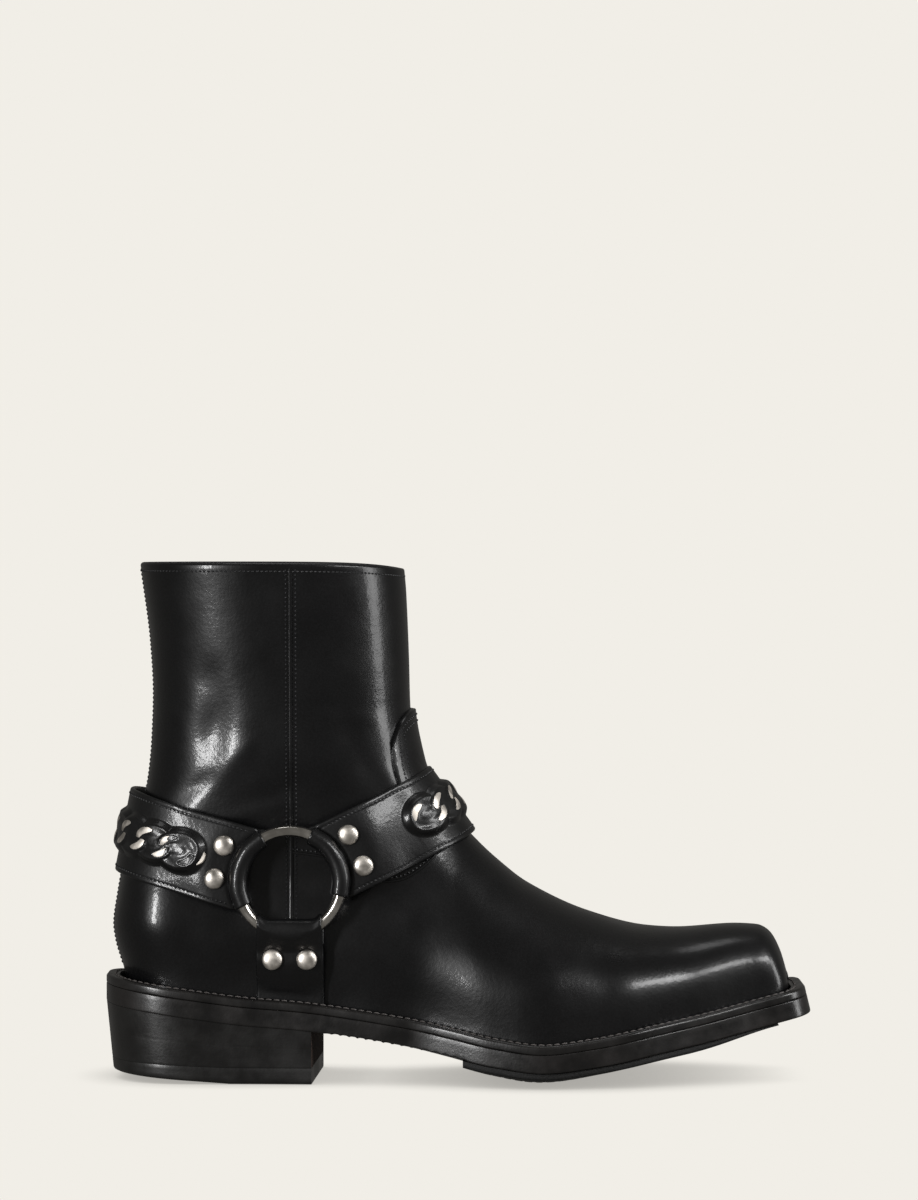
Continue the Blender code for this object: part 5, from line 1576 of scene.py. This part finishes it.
def build_chains():
    """The curb chains let into the front and back straps."""
    front, back, _ = harness_rows()
    chain_piece("front", front, FRONT_STRAP_WIDTH, FRONT_LINKS, -1)
    chain_piece("back", back, BACK_STRAP_WIDTH, BACK_LINKS, 1)


# Zip


def build_zip():
    """The inside zip: woven tape and closed teeth down its middle; slider and pull keep the frame's shape."""
    heights = np.linspace(ZIP_BOTTOM, COLLAR_HEIGHT - ZIP_TOP_GAP, 130)
    across = ZIP_STATION + ZIP_WIDTH / 2 * np.linspace(-1, 1, 13)
    points, normal = skin(*np.meshgrid(across, heights), MEDIAL)
    lift = TAPE_RISE * np.array([0.35] + [1.0] * 11 + [0.35])
    bottom = points - normal * TAPE_SINK
    rows = np.concatenate([points + normal * lift[None, :, None], bottom[:, ::-1]], axis=1)
    make_sheet("tape", rows, ["tape"], "zip_tape")
    heights = np.linspace(ZIP_BOTTOM + 2 * MM, COLLAR_HEIGHT - 4 * MM, 60)
    teeth = []
    for reach in (-TEETH_REACH, TEETH_REACH):
        line, out = seam_line(MEDIAL, np.full(60, ZIP_STATION + reach), heights)
        teeth.append(stitches((line + out * TAPE_RISE, out), TOOTH_PITCH, TOOTH_LENGTH, TOOTH_WIDTH))
    make_merged("zip_teeth", teeth, "teeth")
    for name in ("zip_slider", "zip_pull"):
        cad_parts[name].data.materials.clear()
        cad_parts[name].data.materials.append(finish("brushed"))


# Stage


def add_light(name, place, target, size, power):
    """A rectangular soft light at a place, turned to a target."""
    lamp = bpy.data.lights.new(name, "AREA")
    lamp.shape = "RECTANGLE"
    lamp.size, lamp.size_y = size
    lamp.energy = power
    holder = bpy.data.objects.new(name, lamp)
    bpy.context.scene.collection.objects.link(holder)
    holder.location = place
    holder.rotation_euler = (Vector(target) - Vector(place)).to_track_quat("-Z", "Y").to_euler()


def build_camera():
    """The camera at the photograph's place and angle."""
    scene = bpy.context.scene
    camera = bpy.data.cameras.new("camera")
    camera.sensor_width = 36.0
    camera.lens = 36.0 * FOCAL_PIXELS / IMAGE_HEIGHT
    camera.clip_end = 50.0
    holder = bpy.data.objects.new("camera", camera)
    scene.collection.objects.link(holder)
    holder.location = (CAMERA_X, -CAMERA_DISTANCE, CAMERA_Z)
    holder.rotation_euler = (math.radians(90.0) - math.atan(HORIZON_OFFSET / FOCAL_PIXELS), 0.0, 0.0)
    scene.camera = holder


def floor_paper(paper):
    """Studio paper that glows evenly in its own colour, with a painted contact shadow close round the boot's
    foot: ambient occlusion darkens the glow there.
    """
    made = bpy.data.materials.new("floor_paper")
    made.use_nodes = True
    tree = made.node_tree
    # Painted contact shadow: ambient occlusion from the boot darkens the floor's even glow, as the floor
    # takes no real shadow.
    near = add_node(tree, "ShaderNodeAmbientOcclusion", {"samples": 12}, {"Distance": PAINTED_SHADOW_REACH})
    values = {"From Min": 0.0, "From Max": 0.85, "To Min": PAINTED_SHADOW_DEPTH}
    painted_shadow = add_node(tree, "ShaderNodeMapRange", values=values, links={"Value": near.outputs["AO"]})
    colour = add_node(tree, "ShaderNodeMix", {"data_type": "RGBA", "blend_type": "MULTIPLY"}, {"Factor": 1.0})
    colour.inputs["A"].default_value = (*paper, 1.0)
    tree.links.new(painted_shadow.outputs["Result"], colour.inputs["B"])
    glow = add_node(tree, "ShaderNodeEmission", links={"Color": colour.outputs["Result"]})
    tree.links.new(glow.outputs["Emission"], tree.nodes["Material Output"].inputs["Surface"])
    return made


def build_floor(paper):
    """A wide flat floor just under the sole, which neither mirrors in the boot nor lights it; its shadow
    under the boot is painted into its glow.
    """
    r = FLOOR_REACH
    mesh = bpy.data.meshes.new("floor")
    mesh.from_pydata([(-r, -r, 0), (r, -r, 0), (r, r, 0), (-r, r, 0)], [], [(0, 1, 2, 3)])
    mesh.materials.append(floor_paper(paper))
    floor = bpy.data.objects.new("floor", mesh)
    floor.location.z = -0.2 * MM
    floor.visible_glossy = False
    floor.visible_diffuse = False
    floor.visible_shadow = False
    bpy.context.scene.collection.objects.link(floor)


def build_room(paper, strength):
    """Paper-coloured surroundings to the camera, and a dim light of the same colour to the boot."""
    world = bpy.data.worlds.new("studio")
    bpy.context.scene.world = world
    world.use_nodes = True
    tree = world.node_tree
    seen = add_node(tree, "ShaderNodeBackground", values={"Color": (*paper, 1.0), "Strength": 1.0})
    dim = tree.nodes["Background"]
    dim.inputs["Color"].default_value = (*paper, 1.0)
    dim.inputs["Strength"].default_value = strength
    ray = add_node(tree, "ShaderNodeLightPath")
    both = add_node(tree, "ShaderNodeMixShader",
                    links={"Fac": ray.outputs["Is Camera Ray"], 1: dim.outputs["Background"],
                           2: seen.outputs["Background"]})
    tree.links.new(both.outputs["Shader"], tree.nodes["World Output"].inputs["Surface"])


def build_stage():
    """The camera at the photograph's angle, a pale glowing floor with a painted contact shadow, and soft
    strip lights.
    """
    looks = bpy.context.scene.boot_looks
    bpy.context.scene.view_settings.view_transform = "Standard"
    build_camera()
    build_floor(tuple(looks.paper))
    build_room(tuple(looks.paper), looks.room_light)
    for light in LIGHTS:
        add_light(*light)


# Settings, operators and panel


def length_setting(name, description, default):
    """A length, in metres."""
    return FloatProperty(name=name, description=description, default=default, unit="LENGTH", precision=5)


def share_setting(name, description, default, most=1.0):
    """A strength from 0 up to its largest value."""
    return FloatProperty(name=name, description=description, default=default, min=0.0, max=most,
                         subtype="FACTOR")


def colour_setting(name, description, code):
    """A colour, from its sRGB hex code."""
    return FloatVectorProperty(name=name, description=description, subtype="COLOR", size=3, min=0.0, max=1.0,
                               default=linear(code))


class BootSizes(bpy.types.PropertyGroup):
    """Sizes of the details that a user would change."""

    crease_depth: share_setting("Crease depth", "Strength of the leather's creases", 1.0, 2.0)
    thread: length_setting("Thread", "Thickness of the sewing thread", 0.85 * MM)
    stitch_pitch: length_setting("Stitch pitch", "Distance between stitches", 1.95 * MM)
    stitch_length: length_setting("Stitch length", "Length of a stitch", 1.5 * MM)
    welt_thread: length_setting("Welt thread", "Thickness of the welt's thread", 0.85 * MM)
    welt_pitch: length_setting("Welt pitch", "Distance between the welt's stitches", 3.4 * MM)
    seam_cord: length_setting("Seam cord", "Width of the side seam's cord", 1.8 * MM)
    ring_wire: length_setting("Ring wire", "Thickness of the ring", RING_LOOK_WIRE)
    stud_diameter: length_setting("Stud", "Width of a stud's head", STRAP_STUD)


class BootLooks(bpy.types.PropertyGroup):
    """Colours and finish."""

    leather: colour_setting("Leather", "Colour of the calf leather", "#070708")
    leather_roughness: share_setting("Leather roughness", "Roughness of the polished leather", 0.31)
    pore: length_setting("Pore size", "Width of the leather's grain", 0.8 * MM)
    edge: colour_setting("Sole edge", "Colour of the dyed sole edge", "#0d0c0c")
    lining: colour_setting("Lining", "Colour of the lining", "#1e1e1f")
    ring: colour_setting("Ring", "Colour of the polished nickel", "#f0ebe4")
    studs: colour_setting("Studs", "Colour of the brushed nickel", "#f0e9e0")
    paper: colour_setting("Floor", "Colour of the floor", "#f1eee7")
    room_light: share_setting("Room light", "Strength of the light from all round", 0.14)


class BOOT_OT_upper(bpy.types.Operator):
    """Makes the leather upper with its seams and tongue."""

    bl_idname = "boot.upper"
    bl_label = "Upper"

    def execute(self, context):
        """Builds the upper, its seams and the tongue."""
        build_upper()
        build_upper_seams()
        build_tongue()
        return {"FINISHED"}


class BOOT_OT_sole(bpy.types.Operator):
    """Makes the welt, soles, heel and insole."""

    bl_idname = "boot.sole"
    bl_label = "Sole"

    def execute(self, context):
        """Builds the sole from the welt down, then the insole."""
        build_welt()
        build_midsole()
        build_half_sole()
        build_heel()
        build_insole()
        return {"FINISHED"}


class BOOT_OT_harness(bpy.types.Operator):
    """Makes the straps, ring, studs and chains."""

    bl_idname = "boot.harness"
    bl_label = "Harness"

    def execute(self, context):
        """Builds the straps with their thread, then the metal."""
        build_harness()
        build_ring()
        build_studs()
        build_chains()
        return {"FINISHED"}


class BOOT_OT_zip(bpy.types.Operator):
    """Makes the inside zip."""

    bl_idname = "boot.zip"
    bl_label = "Zip"

    def execute(self, context):
        """Builds the zip's tape and teeth."""
        build_zip()
        return {"FINISHED"}


class BOOT_OT_stage(bpy.types.Operator):
    """Makes the floor, lights and camera."""

    bl_idname = "boot.stage"
    bl_label = "Stage"

    def execute(self, context):
        """Builds the stage."""
        build_stage()
        return {"FINISHED"}


OPERATORS = (BOOT_OT_upper, BOOT_OT_sole, BOOT_OT_harness, BOOT_OT_zip, BOOT_OT_stage)


class BOOT_PT_panel(bpy.types.Panel):
    """Lists the boot's settings and operators."""

    bl_label = "Boot"
    bl_idname = "BOOT_PT_panel"
    bl_space_type = "VIEW_3D"
    bl_region_type = "UI"
    bl_category = "Boot"

    def draw(self, context):
        """Draws the settings and one button for each operator."""
        for group in (context.scene.boot_sizes, context.scene.boot_looks):
            for name in group.bl_rna.properties.keys():
                if name not in ("rna_type", "name"):
                    self.layout.prop(group, name)
        for made in OPERATORS:
            self.layout.operator(made.bl_idname)


CLASSES = (BootSizes, BootLooks) + OPERATORS + (BOOT_PT_panel,)


def register():
    """Registers the classes and hangs the settings on the scene."""
    for made in CLASSES:
        bpy.utils.register_class(made)
    bpy.types.Scene.boot_sizes = PointerProperty(type=BootSizes)
    bpy.types.Scene.boot_looks = PointerProperty(type=BootLooks)


def unregister():
    """Takes the settings and classes away again."""
    del bpy.types.Scene.boot_looks
    del bpy.types.Scene.boot_sizes
    for made in reversed(CLASSES):
        bpy.utils.unregister_class(made)


def main():
    """Builds everything."""
    register()
    bpy.ops.boot.upper()
    bpy.ops.boot.sole()
    bpy.ops.boot.harness()
    bpy.ops.boot.zip()
    bpy.ops.boot.stage()


if __name__ == "__main__":
    main()
